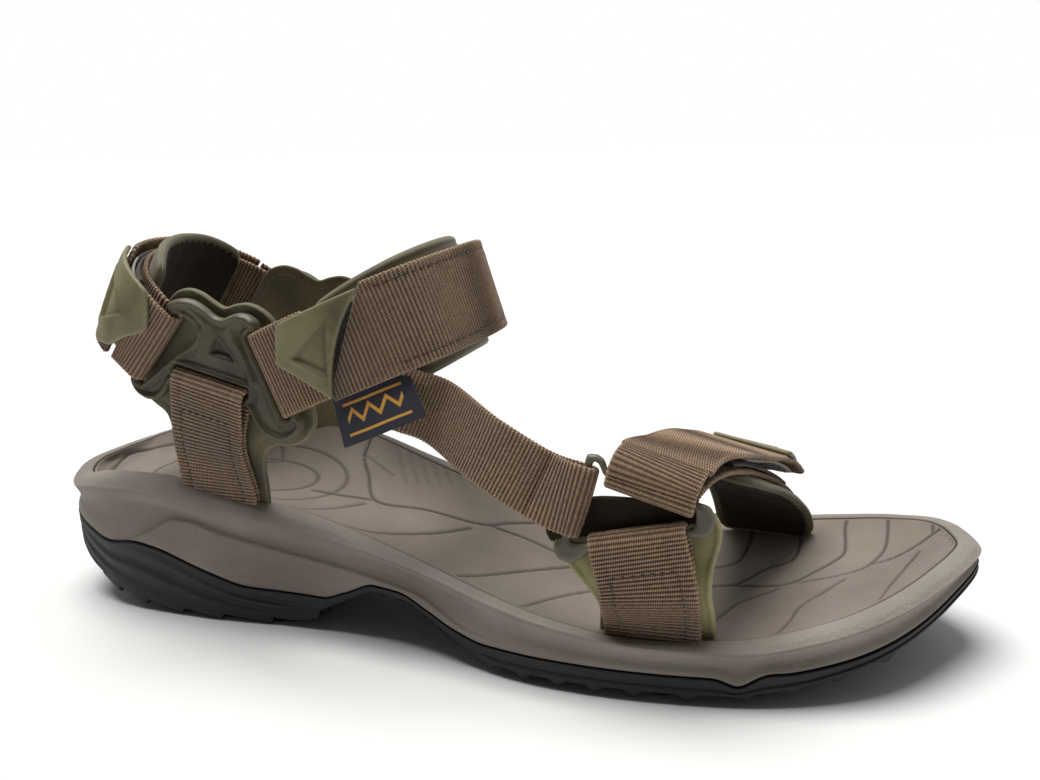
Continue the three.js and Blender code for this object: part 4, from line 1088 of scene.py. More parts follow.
# ---- midsole: side wall with a lower facet, a rolled rim and the seat of the footbed
notch = 2.6 * np.exp(-(((EX - 88.5) / 4.2) ** 2)) - 0.5 * np.exp(-(((EX - 97) / 3.5) ** 2))
BOTTOM = rubber_top(EX) + GAP - notch
H = CREST - BOTTOM
facet = ease((EX + 128) / 20) * (1 - ease((EX - 2) / 22))
wall, grain_rows = [], []
q_rows = np.concatenate([[0.0, 0.02, 0.045, 0.08], np.linspace(0.12, 0.84, 30),
    [0.87, 0.9, 0.925, 0.95, 0.972, 0.99]])
rz = ridge_line(EX)
for q in q_rows:
    z = BOTTOM + H * q
    inset = (
        0.75 + 0.9 * np.exp(-q / 0.03)
        + 1.25 * np.sin(np.pi * min(1, q * 1.06)) ** 2 * (0.35 + 0.65 * (1 - facet))
    )
    below = 1 / (1 + np.exp((z - rz) / 0.22))
    inset = inset + facet * (0.95 * (1 - below) * np.clip((z - rz) / 6 + 0.65, 0.65, 1.0) - 0.25 * below)
    inset = inset * (1 - ease((q - 0.72) / 0.28))
    roll = 1.1 * (1 - math.sqrt(max(0.0, 1 - max(0.0, (q - 0.86) / 0.14) ** 2)))
    wall.append(sole_loop(inset + roll * 0.55, z))
    grain_rows.append(np.full(N2, 0.55 + 0.45 * (q > 0.3)))
# the crease where the wall meets the sloping rim, softly rolled
for inset, f in ((1.15, 0.30), (1.7, 0.52), (2.4, 0.62), (3.4, 0.72), (4.6, 0.85), (5.6, 0.95), (6.2, 0.99)):
    wall.append(sole_loop(inset, CREST + lift(EX) * f + 0.42 * math.sin(math.pi * min(1,
        (inset - 1.15) / 5.6)) - 0.15 * (inset < 1.5)))
    grain_rows.append(np.full(N2, 1.0))
for inset, dz in ((6.6, -0.06), (6.88, -0.3), (RIM, -0.75), (RIM, -2.2), (RIM, -FOOTBED_T - 0.8)):
    wall.append(sole_loop(inset, EDGE_Z + dz))
    grain_rows.append(np.full(N2, 0.4))
first = sole_loop(2.6, BOTTOM)
loops = [first] + wall
# painted highlight along the top of the wall, where it rolls into the rim
crease = np.exp(-((q_rows - 0.985) / 0.03) ** 2)
rim_highlight_rows = [np.zeros(N2)] + [np.full(N2, c) for c in crease] + [np.full(N2, 0.35)] * 2 + [np.zeros(N2)] * 10
# painted shade at the seam over the rubber, along the facet's ridge and down the rim's inner wall
groove_shade_rows = [np.full(N2, 0.8)] + [
    0.75 * facet * np.exp(-(((w[:, 2] - rz + 0.1) / 0.35) ** 2)) * 0.5
    + 0.65 * np.exp(-(((w[:, 2] - BOTTOM) / 0.5) ** 2)) for w in wall[: len(q_rows)]
] + [np.zeros(N2)] * 8 + [np.full(N2, 0.25), np.full(N2, 0.7), np.full(N2, 0.9), np.full(N2, 0.9)]
midsole = stacked("midsole_foam", loops, 8, 8, flat, cup, [MIDSOLE],
    {"grain": [np.full(N2, 0.5)] + grain_rows, "edge": rim_highlight_rows, "groove": groove_shade_rows})
finish_piece(midsole, "sandal", "midsole_foam", "midsole")

# ---- footbed: sculpted grooves, a heel ring, fan ribs and fine patterned fields
GROOVES = [  # (points on the footbed, depth, half width)
    ([(114, 42), (113, 36), (113, 17), (110, 12), (105, 6), (98, -1), (90, -2), (82, -2)], 0.6, 0.42),
    ([(126, 39), (126, 26), (125, 16), (122, 9), (119, 5), (112, 2), (101, -1)], 0.55, 0.40),
    ([(99, 42), (99, 23), (97, 15), (90, 10), (82, -1), (75, -3), (62, -4)], 0.6, 0.45),
    ([(83, 43), (83, 28), (82, 20), (80, 14), (73, 10), (60, 7)], 0.55, 0.42),
    ([(139, 33), (139, 20)], 0.5, 0.40),
    ([(144, 22), (139, 20), (133, 14), (127, 9), (121, 7)], 0.55, 0.40),
    ([(114, -1), (108, -9), (102, -18), (100, -27), (98, -34), (95, -40)], 0.5, 0.36),
    ([(135, 11), (130, -1), (126, -12), (123, -24), (121, -31)], 0.45, 0.34),
    ([(144, 22), (145, 14), (143, 6), (139, -5), (134, -15), (129, -23), (124, -29)], 0.5, 0.38),
    ([(95, -4), (85, -13), (79, -27), (74, -43)], 0.5, 0.38),
    ([(-51, 30), (-51, 18), (-46, 10), (-37, -3), (-20, 1), (-2, 5), (5, 12), (16, 20), (34, 26)], 0.7, 0.42),
    ([(-51, 18), (-38, 13)], 0.35, 0.26),
    ([(-38, -27), (-29, -23), (-21, -17), (-12, -9), (-5, 0)], 0.7, 0.44),
    ([(1, 6), (13, 6), (27, 2), (40, -4)], 0.7, 0.46),
    ([(3, -33), (10, -24), (18, -15), (31, -3), (44, 6)], 0.7, 0.46),
    ([(25, -40), (31, -27), (39, -17), (52, -8)], 0.6, 0.42),
    ([(-60, -5), (-50, -5), (-39, -3)], 0.6, 0.38),
    ([(-62, -30), (-54, -20), (-46, -12), (-40, -6)], 0.6, 0.38),
    ([(-97, 12), (-81, 11), (-86, 22), (-88, 30)], 0.5, 0.34),
    ([(-131, -18), (-138, -10), (-142, 0), (-143, 8), (-139, 15), (-129, 19), (-112, 21)], 0.5, 0.40),
    ([(66, 44), (66, 31), (64, 23), (58, 17), (48, 13)], 0.55, 0.42),
    ([(50, 42), (49, 32), (45, 25), (36, 20)], 0.5, 0.42),
]
FAN = [([(-47 + 4.6 * i, 33 - 0.5 * i), (-32 + 3.4 * i, 11 + 1.9 * i)]) for i in range(8)]
HEEL_C = (-88, 1)


def inside_poly(x, y, poly):
    return inside(np.c_[np.ravel(x), np.ravel(y)], poly).reshape(np.shape(x))


DIAMONDS = [(101, -2), (112, 2), (122, 7), (133, 14), (144, 22), (146, 8), (141, -8), (130, -24),
    (116, -36), (97, -42), (99, -28), (104, -16)]
LINES = [(62, -5), (78, -3), (98, -1), (104, -10), (99, -24), (95, -44), (60, -50), (40, -46), (50, -22)]
HEEL_LINES = [(-40, -28), (-20, -15), (-4, 1), (8, 5), (28, 1), (44, -10), (30, -36), (0, -34), (-30, -30)]


def footbed_relief(top):
    x, y, z = top[..., 0], top[..., 1], top[..., 2]
    shape = x.shape
    # the groove mask holds painted shade for the cuts, the heel rings and the fan ribs
    groove = np.zeros(shape)
    dz = np.zeros(shape)
    for pts, depth, w in GROOVES:
        p3 = np.c_[np.array(pts, float), np.zeros(len(pts))]
        curve = catmull(p3, np.linspace(0, 1, 10 * len(pts)))[:, :2] if len(pts) > 2 else p3[:, :2]
        lo, hi = curve.min(0) - 2.5, curve.max(0) + 2.5
        m = (x > lo[0]) & (x < hi[0]) & (y > lo[1]) & (y < hi[1])
        d = line_distance(x[m], y[m], curve)
        # each groove is cut wider than its listed half width
        w = w * 1.35
        cut = np.exp(-((d / w) ** 2))
        dz[m] = np.minimum(dz[m], -depth * cut + 0.10 * np.exp(-(((d - 1.1) / 0.5) ** 2)))
        groove[m] = np.maximum(groove[m], np.exp(-((d / (w * 0.8)) ** 2)) * min(1.0, depth * 1.5))
    # heel rings
    for rx, ry in ((37, 19.5), (26.5, 11.5)):
        r = np.hypot((x - HEEL_C[0]) / rx, (y - HEEL_C[1]) / ry)
        d = np.abs(r - 1) * (rx + ry) / 2 * 0.86
        cut = np.exp(-((d / 0.42) ** 2))
        dz = np.minimum(dz, -0.5 * cut)
        groove = np.maximum(groove, cut * 0.75)
    r_in = np.hypot((x - HEEL_C[0]) / 26.5, (y - HEEL_C[1]) / 11.5)
    dz = dz + 0.35 * ease((1 - r_in) / 0.25)
    # fan ribs under the arch
    for a, b in FAN:
        d = line_distance(x, y, np.array([a, b], float))
        dz = dz - 0.28 * np.exp(-((d / 0.5) ** 2))
        groove = np.maximum(groove, 0.22 * np.exp(-((d / 0.6) ** 2)))
    free = 1 - np.clip(groove * 1.6, 0, 1)
    dia = inside_poly(x, y, DIAMONDS) * free
    a, b = (x * 0.90 + y * 0.42), (-x * 0.30 + y * 0.95)
    bumps = np.cos(2 * np.pi * a / 2.3) * np.cos(2 * np.pi * b / 2.1)
    dz = dz + dia * 0.16 * np.clip(bumps, -0.2, 1) + dia * 0.05
    lines = (inside_poly(x, y, LINES) | inside_poly(x, y, HEEL_LINES)) * free
    dz = dz + lines * 0.07 * np.cos(2 * np.pi * (x * 0.35 - y * 0.94) / 1.9)
    # the relief is added to the heights of the top
    top = top.copy()
    top[..., 2] = z + dz
    # painted shade in the dips between the diamond bumps
    groove = np.maximum(groove, dia * 0.16 * (bumps < -0.1))
    return top, {"groove": groove}


fb = (
    [sole_loop(RIM + GAP, EDGE_Z - FOOTBED_T)]
    + [sole_loop(RIM + GAP + i, EDGE_Z - 0.4 + dz) for i,
    dz in ((0.0, -1.6), (0.0, -0.55), (0.12, -0.22), (0.4, -0.05), (0.8, 0.0))]
)
# painted shade down the footbed's side, in the gap against the rim
footbed = stacked("footbed_foam", fb, 8, 160, cup, cup, [FOOTBED],
    {"groove": [np.ones(N2), np.full(N2, 0.9), np.full(N2, 0.55), np.full(N2, 0.3), np.full(N2, 0.05),
    np.zeros(N2)]}, top_move=footbed_relief)
finish_piece(footbed, "sandal", "footbed_foam", "footbed")

# ---- outsole: wrapped rubber with side ribs, stepped heel teeth and forefoot nubs
HEEL_STEPS = [-131, -122, -110, -95, -80, -62, -45]
FORE_NUBS = [16, 27, 38, 49, 60, 75, 90, 103, 115, 127]


def tooth(x):
    """Depth of the stepped heel teeth below the base: each grows forward and ends in a step."""
    out = np.zeros_like(x)
    for a, b in zip(HEEL_STEPS[:-1], HEEL_STEPS[1:]):
        t = (x - a) / (b - a)
        f = np.where((t >= 0) & (t < 1), (0.25 + 0.75 * t) * ease((1 - t) / 0.06), 0)
        out = np.maximum(out, f)
    return out


def lugs(x, y):
    """Depth of the tread below the rubber's base."""
    half = np.interp(x, SIDE_X, [min(-a, b) for a, b in zip(LAT_Y, MED_Y)])
    c = 1 + 5 * np.maximum(0, x / 150)
    u = (y - c) / np.maximum(half, 4)
    heel = tooth(x - 6 * np.abs(u) + 3.0) * (np.abs(u) > 0.10)
    heel = heel * (1 - ease((np.abs(u) - 0.93) / 0.06)) * (x < -42)
    p = (x - 5 * np.abs(np.abs(u) - 0.5)) / 12.0
    f = np.abs((p % 1.0) - 0.5) * 2
    fore = ease((0.78 - f) / 0.14) * (x > 14) * (x < 130)
    ch = np.minimum(np.abs(np.abs(u) - 0.34) / 0.05, 1.0)
    fore = fore * ease(ch) * (1 - ease((np.abs(u) - 0.95) / 0.05))
    return heel, fore


BASE, TOPR = rubber_base(EX), rubber_top(EX) - notch
room = np.maximum(TOPR - BASE, 1.6)
saw = (
    2.5 * tooth(EX) * (EX < -44)
    + sum(1.6 * np.clip(1 - np.abs(EX - c) / 2.6, 0, 1) ** 0.8 for c in FORE_NUBS)
)
saw = np.minimum(saw, np.maximum(0.0, BASE - 0.05))
SAWZ = BASE - saw
# one row set is painted shade in the side groove, between the heel ribs and at the top seam; the other is a
# painted highlight on the rounded edges and rib crests
o_loops, o_groove_shade, o_edge_highlight = [], [], []
for q, ins in ((0.0, 2.9), (0.0, 1.7), (0.04, 1.25), (0.10, 1.05)):
    o_loops.append(sole_loop(ins, SAWZ + room * q))
    o_groove_shade.append(np.zeros(N2))
    o_edge_highlight.append(np.full(N2, 0.7 if q == 0.04 else 0.2))
for q in np.linspace(0.16, 0.95, 22):
    z = BASE + room * q
    fore = ease((EX - 8) / 14)
    step = fore * 0.75 / (1 + math.exp((q - 0.42) / 0.03)) * -1.0
    heel = 1 - ease((EX + 66) / 30)
    ribs = heel * 0.34 * np.sin(2 * np.pi * (q * 2.6 + 0.022 * EX)) * np.sin(np.pi * q)
    ins = 0.62 + 0.55 * (1 - q) + step * 0.55 + ribs + 0.25 * (1 - fore)
    line = fore * math.exp(-(((q - 0.42) / 0.045) ** 2))
    ins = ins + 0.45 * line
    o_loops.append(sole_loop(ins, z))
    o_groove_shade.append(0.85 * line * np.ones(N2)
        + 0.3 * heel * (np.sin(2 * np.pi * (q * 2.6 + 0.022 * EX)) > 0.6))
    o_edge_highlight.append(np.clip(0.6 * (ribs < -0.2), 0, 1) * np.ones(N2))
for q, ins in ((0.965, 0.72), (0.985, 0.95), (1.0, 1.3), (1.0, 2.6)):
    o_loops.append(sole_loop(ins, BASE + room * q - (0.05 if q < 1 else 0)))
    o_groove_shade.append(np.full(N2, 0.0 if q < 1 else 0.5))
    o_edge_highlight.append(np.full(N2, 0.8 if q == 0.985 else 0.1))


def outsole_low(low):
    x, y = low[..., 0], low[..., 1]
    heel, fore = lugs(x, y)
    base = rubber_base(x)
    room_z = np.maximum(0.0, base - 0.02)
    low = low.copy()
    low[..., 2] = base - np.minimum(2.6 * heel + 2.5 * fore, room_z)
    return low


outsole = stacked("outsole_rubber", o_loops, 150, 6, flat, flat, [RUBBER],
    {"groove": o_groove_shade, "edge": o_edge_highlight}, low_move=outsole_low)
finish_piece(outsole, "sandal", "outsole_rubber", "outsole")

# ------------------------------------------------------------------ hubs
HUB_OUT = [
    (-106.1, 82.7), (-107.2, 79.8), (-105.3, 75.9), (-101, 73.6), (-96.2, 74.1), (-92.6, 77.2), (-90.2, 81.1),
    (-62.1, 74.7), (-60.2, 69.8), (-57, 66.2), (-51.4, 64.1), (-46.1, 65.4), (-42.8, 69), (-42.8, 71.7),
    (-44.4, 73.1),
    (-55.8, 98.8), (-56.5, 100.9), (-58.7, 102.5), (-62, 103.3), (-65.4, 102.6), (-68.7, 101), (-71.9, 101.8),
    (-75.3, 104.4), (-78.9, 106.4), (-82.6, 107), (-86.2, 106.5), (-89, 105.3), (-89.9, 104), (-88.3, 103.2)]
HUB_WINDOW = [(-104.9, 80.9), (-86.4, 102.1), (-83.4, 101.2), (-79.9, 99.5), (-78.2, 97.1), (-79.2, 94.4),
    (-82.5, 91.8), (-87.5, 89.4), (-94, 84.7), (-102.5, 78.8)]
SLOT, BAR_HALF, PLATE_HALF = 3.1, 1.1, 1.2


def slot_outline(bar, side, uv, half=14.1):
    (m, d) = bar
    e = (-d[1] * side, d[0] * side)
    q = []
    for a, b in ((-1, 0), (1, 0), (1, 1), (-1, 1)):
        h = BAR_HALF + b * SLOT
        q.append(uv(m[0] + d[0] * a * half + e[0] * h, m[1] + d[1] * a * half + e[1] * h))
    return rounded(q, 0.9)


HUB_LOOP = rounded([hub_uv(*p) for p in HUB_OUT], 2.2, 4)
HUB_SLOTS = [rounded([hub_uv(*p) for p in HUB_WINDOW], 0.9),
    *[slot_outline(b, s, hub_uv) for b, s in ((FRONT_BAR, -1), (LOW_BAR, 1))]]
POCKET = np.array([hub_uv(*p) for p in ((-72.4, 96.4), (-75, 90.2), (-65, 88))])
RIDGE_A = [hub_uv(*p) for p in ((-86.5, 104.5), (-82.3, 104.9), (-78.7, 103.0), (-75.2, 99.4), (-75.8,
    94.8), (-78.8, 90.2))]
RIDGE_B = [hub_uv(*p) for p in ((-58.2, 100.2), (-61.8, 101.1), (-65.9, 99.2), (-65.2, 95.0), (-61.2, 88.6),
    (-59.4, 82))]


def hub_top(x, y, d):
    pocket = inside(np.c_[x, y], POCKET)
    dp = seg_distance(np.c_[x, y], [POCKET])
    into = np.where(pocket, ease(dp / 1.1), 0.0)
    lip = np.where(pocket, 0.0, np.exp(-((dp / 0.9) ** 2)))
    rail = np.maximum(np.exp(-((line_distance(x, y, RIDGE_A) / 1.5) ** 2)),
        np.exp(-((line_distance(x, y, RIDGE_B) / 1.5) ** 2))) * (1 - into)
    return (
        PLATE_HALF - 0.55 + 0.95 * ridge(d, 1.05, 0.75) + 1.15 * rail + 0.35 * lip - 1.6 * into
        - 0.35 * ridge(d, 2.6, 0.7) * (1 - rail)
    )


# painted shade inside the recessed pocket and along the groove near the rim
def hub_hollow_shade(x, y, d):
    pocket = inside(np.c_[x, y], POCKET)
    return (
        np.where(pocket, 1.0, 0.0) * ease(seg_distance(np.c_[x, y], [POCKET]) / 0.8) * 0.95
        + 0.5 * ridge(d, 2.5, 0.6)
    )


hub_place = on_plane(HUB_O, HUB_U, HUB_V)
# heights of the hub rise along +N, which points away from the foot on the lateral side
assert HUB_N[1] < 0


def mirrored(o, name):
    """The same piece on the medial side."""
    m = o.copy()
    m.data = o.data.copy()
    m.name = name
    m.data.transform(Matrix.Scale(-1, 4, Vector((0, 1, 0))))
    m.parent = None
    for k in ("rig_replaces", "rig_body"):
        if k in m:
            del m[k]
    bpy.context.scene.collection.objects.link(m)
    return m


def both_sides(o, mirror_name, slot, lateral, medial):
    m = mirrored(o, mirror_name)
    finish_piece(o, "sandal", slot, *lateral)
    finish_piece(m, "sandal", slot, *medial)
    return o, m


hub = relief("lateral_hub_moulding", [HUB_LOOP, *HUB_SLOTS], hub_place, hub_top, lambda x, y,
    d: np.full(len(x), -PLATE_HALF), HUB, 0.55, 0.55, hollow=hub_hollow_shade)
both_sides(hub, "medial_hub_moulding", "hub_polymer", ["lateral_hub"], ["medial_hub"])

# ---- backing pads with a tongue that runs down into the sole beside the anchor
HUB_PAD = [
    (-106.6, 86), (-109.4, 80.2), (-107.2, 75), (-102.4, 71.2), (-97.9, 68), (-95.8, 63), (-95.6, 54),
    (-96.6, 45), (-98.4, 36), (-99.3, 30),
    (-80, 27), (-64.5, 25.2), (-63.8, 34), (-63.4, 44), (-62.6, 53), (-59.8, 59.2), (-56, 61.2),
    (-49.5, 61.8),
    (-44.3, 64.8), (-41.4, 69.3), (-42, 75), (-47.2, 84.5), (-52, 94.5), (-53.6, 100), (-57.2, 103.4),
    (-62.5, 105.4), (-67.2, 105), (-71.6, 103.9), (-75, 105.4),
    (-79.9, 108.2), (-84.5, 109.3), (-89, 108.3), (-92.2, 105.8), (-94.4, 102.4), (-97, 97.8), (-102, 92)]


def leg_gap(band):
    near = WEB_T / 2 + GAP / 2 + 0.05
    return lambda s: near + (FOLD_R - near) * ease((np.asarray(s, float) - (band.L - 13)) / 13)


def follow(band, place, top_z, t):
    """Offset along +Y, for a height z, of a pad that leaves its plane to follow the anchor band down."""
    s = np.linspace(-6, band.L, 160)
    P, _, _, N = band.frame(s)
    h = leg_gap(band)(s)
    c = P - N * (h + WEB_T / 2 + GAP + 0.25 + t / 2)[:, None]
    z, y = c[:, 2], c[:, 1]
    flat_y = place(c[:, 0], z)
    dy = y - flat_y
    order = np.argsort(z)
    z, dy = z[order], dy[order]
    dy = dy * ease((top_z - z) / 9.0) if top_z else dy
    return lambda zz: np.interp(zz, z, dy)


def pad_place(o, u, v, band, top_z, t, mid):
    """Maps plane coordinates to a pad that is flat above and follows the band below."""
    n = np.cross(u, v)

    def plane_y(x, z):
        # y of the pad's middle on its own plane at (x, z)
        b = (z - o[2] - n[2] * mid) / v[2]
        a = (x - o[0] - n[0] * mid) / u[0]
        return o[1] + u[1] * a + v[1] * b + n[1] * mid

    dy = follow(band, plane_y, top_z, t)

    def place(a, b, h):
        p = o + np.multiply.outer(a, u) + np.multiply.outer(b, v) + np.multiply.outer(h, n)
        p[:, 1] += dy(p[:, 2])
        return p

    return place


pad_mid = PAD1 - HUB_PAD_T / 2
hub_pad_place = pad_place(HUB_O, HUB_U, HUB_V, LAT_ANCHOR, 70, HUB_PAD_T, pad_mid)
PAD_LOOP = soften([hub_uv(*p) for p in HUB_PAD], 420)


def pad_top(x, y, d):
    fade = ease((y + 34) / 10)
    return (
        PAD1 - 0.42 + fade * (0.34 * ridge(d, 0.75, 0.42) + 0.30 * ridge(d, 1.95, 0.45)
        - 0.22 * ridge(d, 1.32, 0.22))
        + 0.22 * ease((d - 2.6) / 1.6)
    )


def pad_low(x, y, d):
    return np.full(len(x), PAD1 - HUB_PAD_T) + 0.18 * ridge(d, 2.2, 0.35)


# painted shade along the groove near the pad's edge and along a second line further in
hub_pad = relief(
    "lateral_hub_backing", [PAD_LOOP], hub_pad_place, pad_top, pad_low, PAD, 0.75, 0.6, HUB_LINING,
    hollow=lambda x, y, d: 0.9 * ridge(d, 1.32, 0.3) + 0.5 * ridge(d, 2.6, 0.5))
both_sides(hub_pad, "medial_hub_backing", "pad_cover", ["lateral_hub_pad"], ["medial_hub_pad"])


def loop_runs(loop, inset, place, h, normal):
    """A run of points inside a closed loop, with one outward normal."""
    l = resample(loop, 0.8)
    t = unit(np.roll(l, -1, 0) - np.roll(l, 1, 0))
    n = np.c_[-t[:, 1], t[:, 0]]
    if not inside(l[:1] + n[:1] * 0.5, l)[0]:
        n = -n
    q = l + n * inset
    p = place(q[:, 0], q[:, 1], np.full(len(q), h))
    return [(np.vstack([p, p[:1]]), np.tile(normal, (len(p) + 1, 1)))]


hub_thread = stitches("lateral_hub_lining_stitches", THREAD_GREY,
    loop_runs(PAD_LOOP, 3.2, hub_pad_place, PAD1 - HUB_PAD_T, -HUB_N), 1.6, 1.3, 0.22)
both_sides(hub_thread, "medial_hub_lining_stitches", "pad_cover", [], [])

# ---- toe ring and the pad behind it
RING_OUT = [
    (39.95, 45.1), (37.4, 43.4), (38.4, 39.8), (42.4, 38.4), (46.3, 40.4), (47.9, 42.4), (74.9, 48.5),
    (79.6, 48.4), (82, 52.6), (80.2, 57),
    (77.1, 57.7), (52.1, 64.7), (51.3, 67.4), (49.2, 68.8), (46.4, 68.6), (46.1, 67.4)]
RING_HOLE = [(42.05, 44.5), (47.2, 44.55), (76.3, 51.1), (76.5, 55.6), (51.5, 62.6), (49.6, 66.4),
    (48.2, 66.8)]
ring_place = on_plane(RING_O, RING_U, RING_V)


def ring_top(x, y, d):
    return np.full(len(x), PLATE_HALF - 0.3) + 0.4 * ease(d / 1.2)


ring = relief(
    "toe_ring_moulding", [rounded([ring_uv(*p) for p in RING_OUT], 2.4, 5),
    rounded([ring_uv(*p) for p in RING_HOLE], 1.4, 4)],
    ring_place, ring_top, lambda x, y, d: np.full(len(x), -PLATE_HALF), RING, 0.5, 0.8)
finish_piece(ring, "sandal", "ring_polymer", "toe_ring")

TOE_PAD_OUT = [
    (35, 50.5), (34, 45.6), (38.4, 40.2), (43.7, 34.6), (47.1, 29.4), (48.6, 24), (48.4, 18), (48.2, 12.5),
    (64, 9.8), (80.6, 11.6),
    (81.2, 19), (81, 27), (80.7, 34), (81, 40), (82.3, 45.2), (82.8, 49.2), (80.8, 54.2), (74, 56.4),
    (60, 57), (45, 56)]
TOE_LOOP = soften([ring_uv(*p) for p in TOE_PAD_OUT], 300)
toe_pad_place = pad_place(RING_O, RING_U, RING_V, TOE_ANCHOR, 46, HUB_PAD_T, pad_mid)
# painted shade along the groove near the pad's edge
toe_backing = relief(
    "toe_anchor_backing", [TOE_LOOP], toe_pad_place,
    lambda x, y, d: PAD1 - 0.45 + 0.3 * ridge(d, 0.9, 0.5) - 0.2 * ridge(d, 1.7, 0.3)
    + 0.35 * ease((d - 2) / 3),
    lambda x, y, d: np.full(len(x), PAD1 - HUB_PAD_T), TOEPAD, 0.75, 0.7, LINING, hollow=lambda x, y,
    d: 0.7 * ridge(d, 1.7, 0.35))
# the inner face is lined above a slanted edge that the anchor webbing hides
LINED_ABOVE, LINED_MID, LINED_SLOPE, LINED_TO = 47.9, 61.2, 0.2, 77.5
for face in toe_backing.data.polygons:
    c = face.center / MM
    if face.normal.y < 0 and c.z > LINED_ABOVE + (c.x - LINED_MID) * LINED_SLOPE and c.x < LINED_TO:
        face.material_index = 1
finish_piece(toe_backing, "sandal", "pad_cover", "lateral_toe_pad")

# ------------------------------------------------------------------ webbing


def webbing_piece(name, stations, half, t, mat, node, body="sandal", **more):
    C, W, Q, u = stations
    o = ribbon(name, C, W, Q, u, half, t, mat, **more)
    nodes = [node] if isinstance(node, str) else list(node)
    return finish_piece(o, body, "webbing", *nodes) if body else o


def anchor(name, band, start, node, mirror=None):
    st = folded(band, stub1=band.L - start, h=leg_gap(band), s0=start)
    o = ribbon(name, *st, ANCHOR / 2, WEB_T, WEBBING, seams=(4.2,), rib=0.14, crown=0.0)
    if mirror:
        both_sides(o, mirror[0], "webbing", [node], [mirror[1]])
    else:
        finish_piece(o, "sandal", "webbing", node)


anchor("lateral_anchor_strap", LAT_ANCHOR, 4, "lateral_anchor_webbing",
    ("medial_anchor_strap", "medial_anchor_webbing"))
anchor("toe_anchor_strap", TOE_ANCHOR, 8.5, "lateral_toe_anchor_webbing")


def anchor_runs(band, start, cross):
    out = []
    h = leg_gap(band)
    s = np.linspace(start + 2, band.L - cross, 90)
    n = h(s) + WEB_T / 2 - 0.06
    for v in (-ANCHOR / 2 + 4.2, ANCHOR / 2 - 4.2):
        out.append(band_run(band, s, v, n))
    v = np.linspace(-ANCHOR / 2 + 4.4, ANCHOR / 2 - 4.4, 40)
    sc = np.full(40, band.L - cross)
    out.append(band_run(band, sc, v, h(sc) + WEB_T / 2 - 0.02))
    return out


runs = anchor_runs(LAT_ANCHOR, 8, 9.0)
a_long = stitches("lateral_anchor_side_stitches", THREAD, runs[:2], 2.0, 0.7, 0.20)
both_sides(a_long, "medial_anchor_side_stitches", "webbing", [], [])
a_cross = stitches("lateral_anchor_cross_stitches", THREAD_DARK, runs[2:], 1.5, 1.2, 0.34)
both_sides(a_cross, "medial_anchor_cross_stitches", "webbing", [], [])
runs = anchor_runs(TOE_ANCHOR, 12, 9.0)
finish_piece(stitches("toe_anchor_side_stitches", THREAD, runs[:2], 2.0, 0.7, 0.20), "sandal", "webbing")
finish_piece(stitches("toe_anchor_cross_stitches", THREAD_DARK, runs[2:], 1.5, 1.2, 0.34), "sandal",
    "webbing")

HL, IL, TL, SL = HEEL.L, INSTEP.L, TOE.L, SIDE.L
webbing_piece("heel_strap", folded(HEEL, 9, 9), WEB / 2, WEB_T, WEBBING, "heel_strap_webbing")
webbing_piece("instep_strap", folded(INSTEP, 17, 13), WEB / 2, WEB_T, WEBBING, "instep_strap_webbing")
webbing_piece("toe_strap", folded(TOE, stub0=9, s1=TL), TOE_WEB / 2, WEB_T, WEBBING, "toe_strap_webbing")

# ---- side strap: from the seam under the instep closure down to the ring
SIDE_OPENS = 16  # the side strap opens into its fold over this length


def side_h(s):
    return FOLD_R * ease((np.asarray(s, float) - (SL - SIDE_OPENS)) / SIDE_OPENS)


C, W, Q, u = folded(SIDE, stub1=12, h=side_h, s0=-4)
half = (SIDE_WEB_REAR + (SIDE_WEB - SIDE_WEB_REAR) * np.clip((u - 4) / SL, 0, 1)) / 2
side = ribbon("side_strap_webbing", C, W, Q, u, half, WEB_T, WEBBING, rib=0.15, crown=0.25)


def clip_above(o, keep_side):
    """Cuts away the part of a mesh where keep_side(x, y, z in mm) is negative, leaving a closed end."""
    import bmesh

    b = bmesh.new()
    b.from_mesh(o.data)
    gone = [v for v in b.verts if keep_side(v.co.x / MM, v.co.y / MM, v.co.z / MM) < 0]
    bmesh.ops.delete(b, geom=gone, context="VERTS")
    loose = [e for e in b.edges if e.is_boundary]
    if loose:
        bmesh.ops.holes_fill(b, edges=loose, sides=0)
    b.to_mesh(o.data)
    b.free()
    return o


_s = np.arange(2, IL * 0.5, 0.4)
_P, _T, _W = INSTEP.frame(_s)[:3]


def below_instep(x, y, z):
    """How far a point lies below the lower edge of the instep webbing, in mm."""
    p = np.array([x, y, z])
    k = int(np.argmin(np.abs(((p - _P) * _T).sum(1)) + 0.001 * np.linalg.norm(p - _P, axis=1)))
    return float((p - _P[k]) @ _W[k]) - (WEB / 2 + 0.5)


clip_above(side, below_instep)
finish_piece(side, "sandal", "webbing", "side_strap")


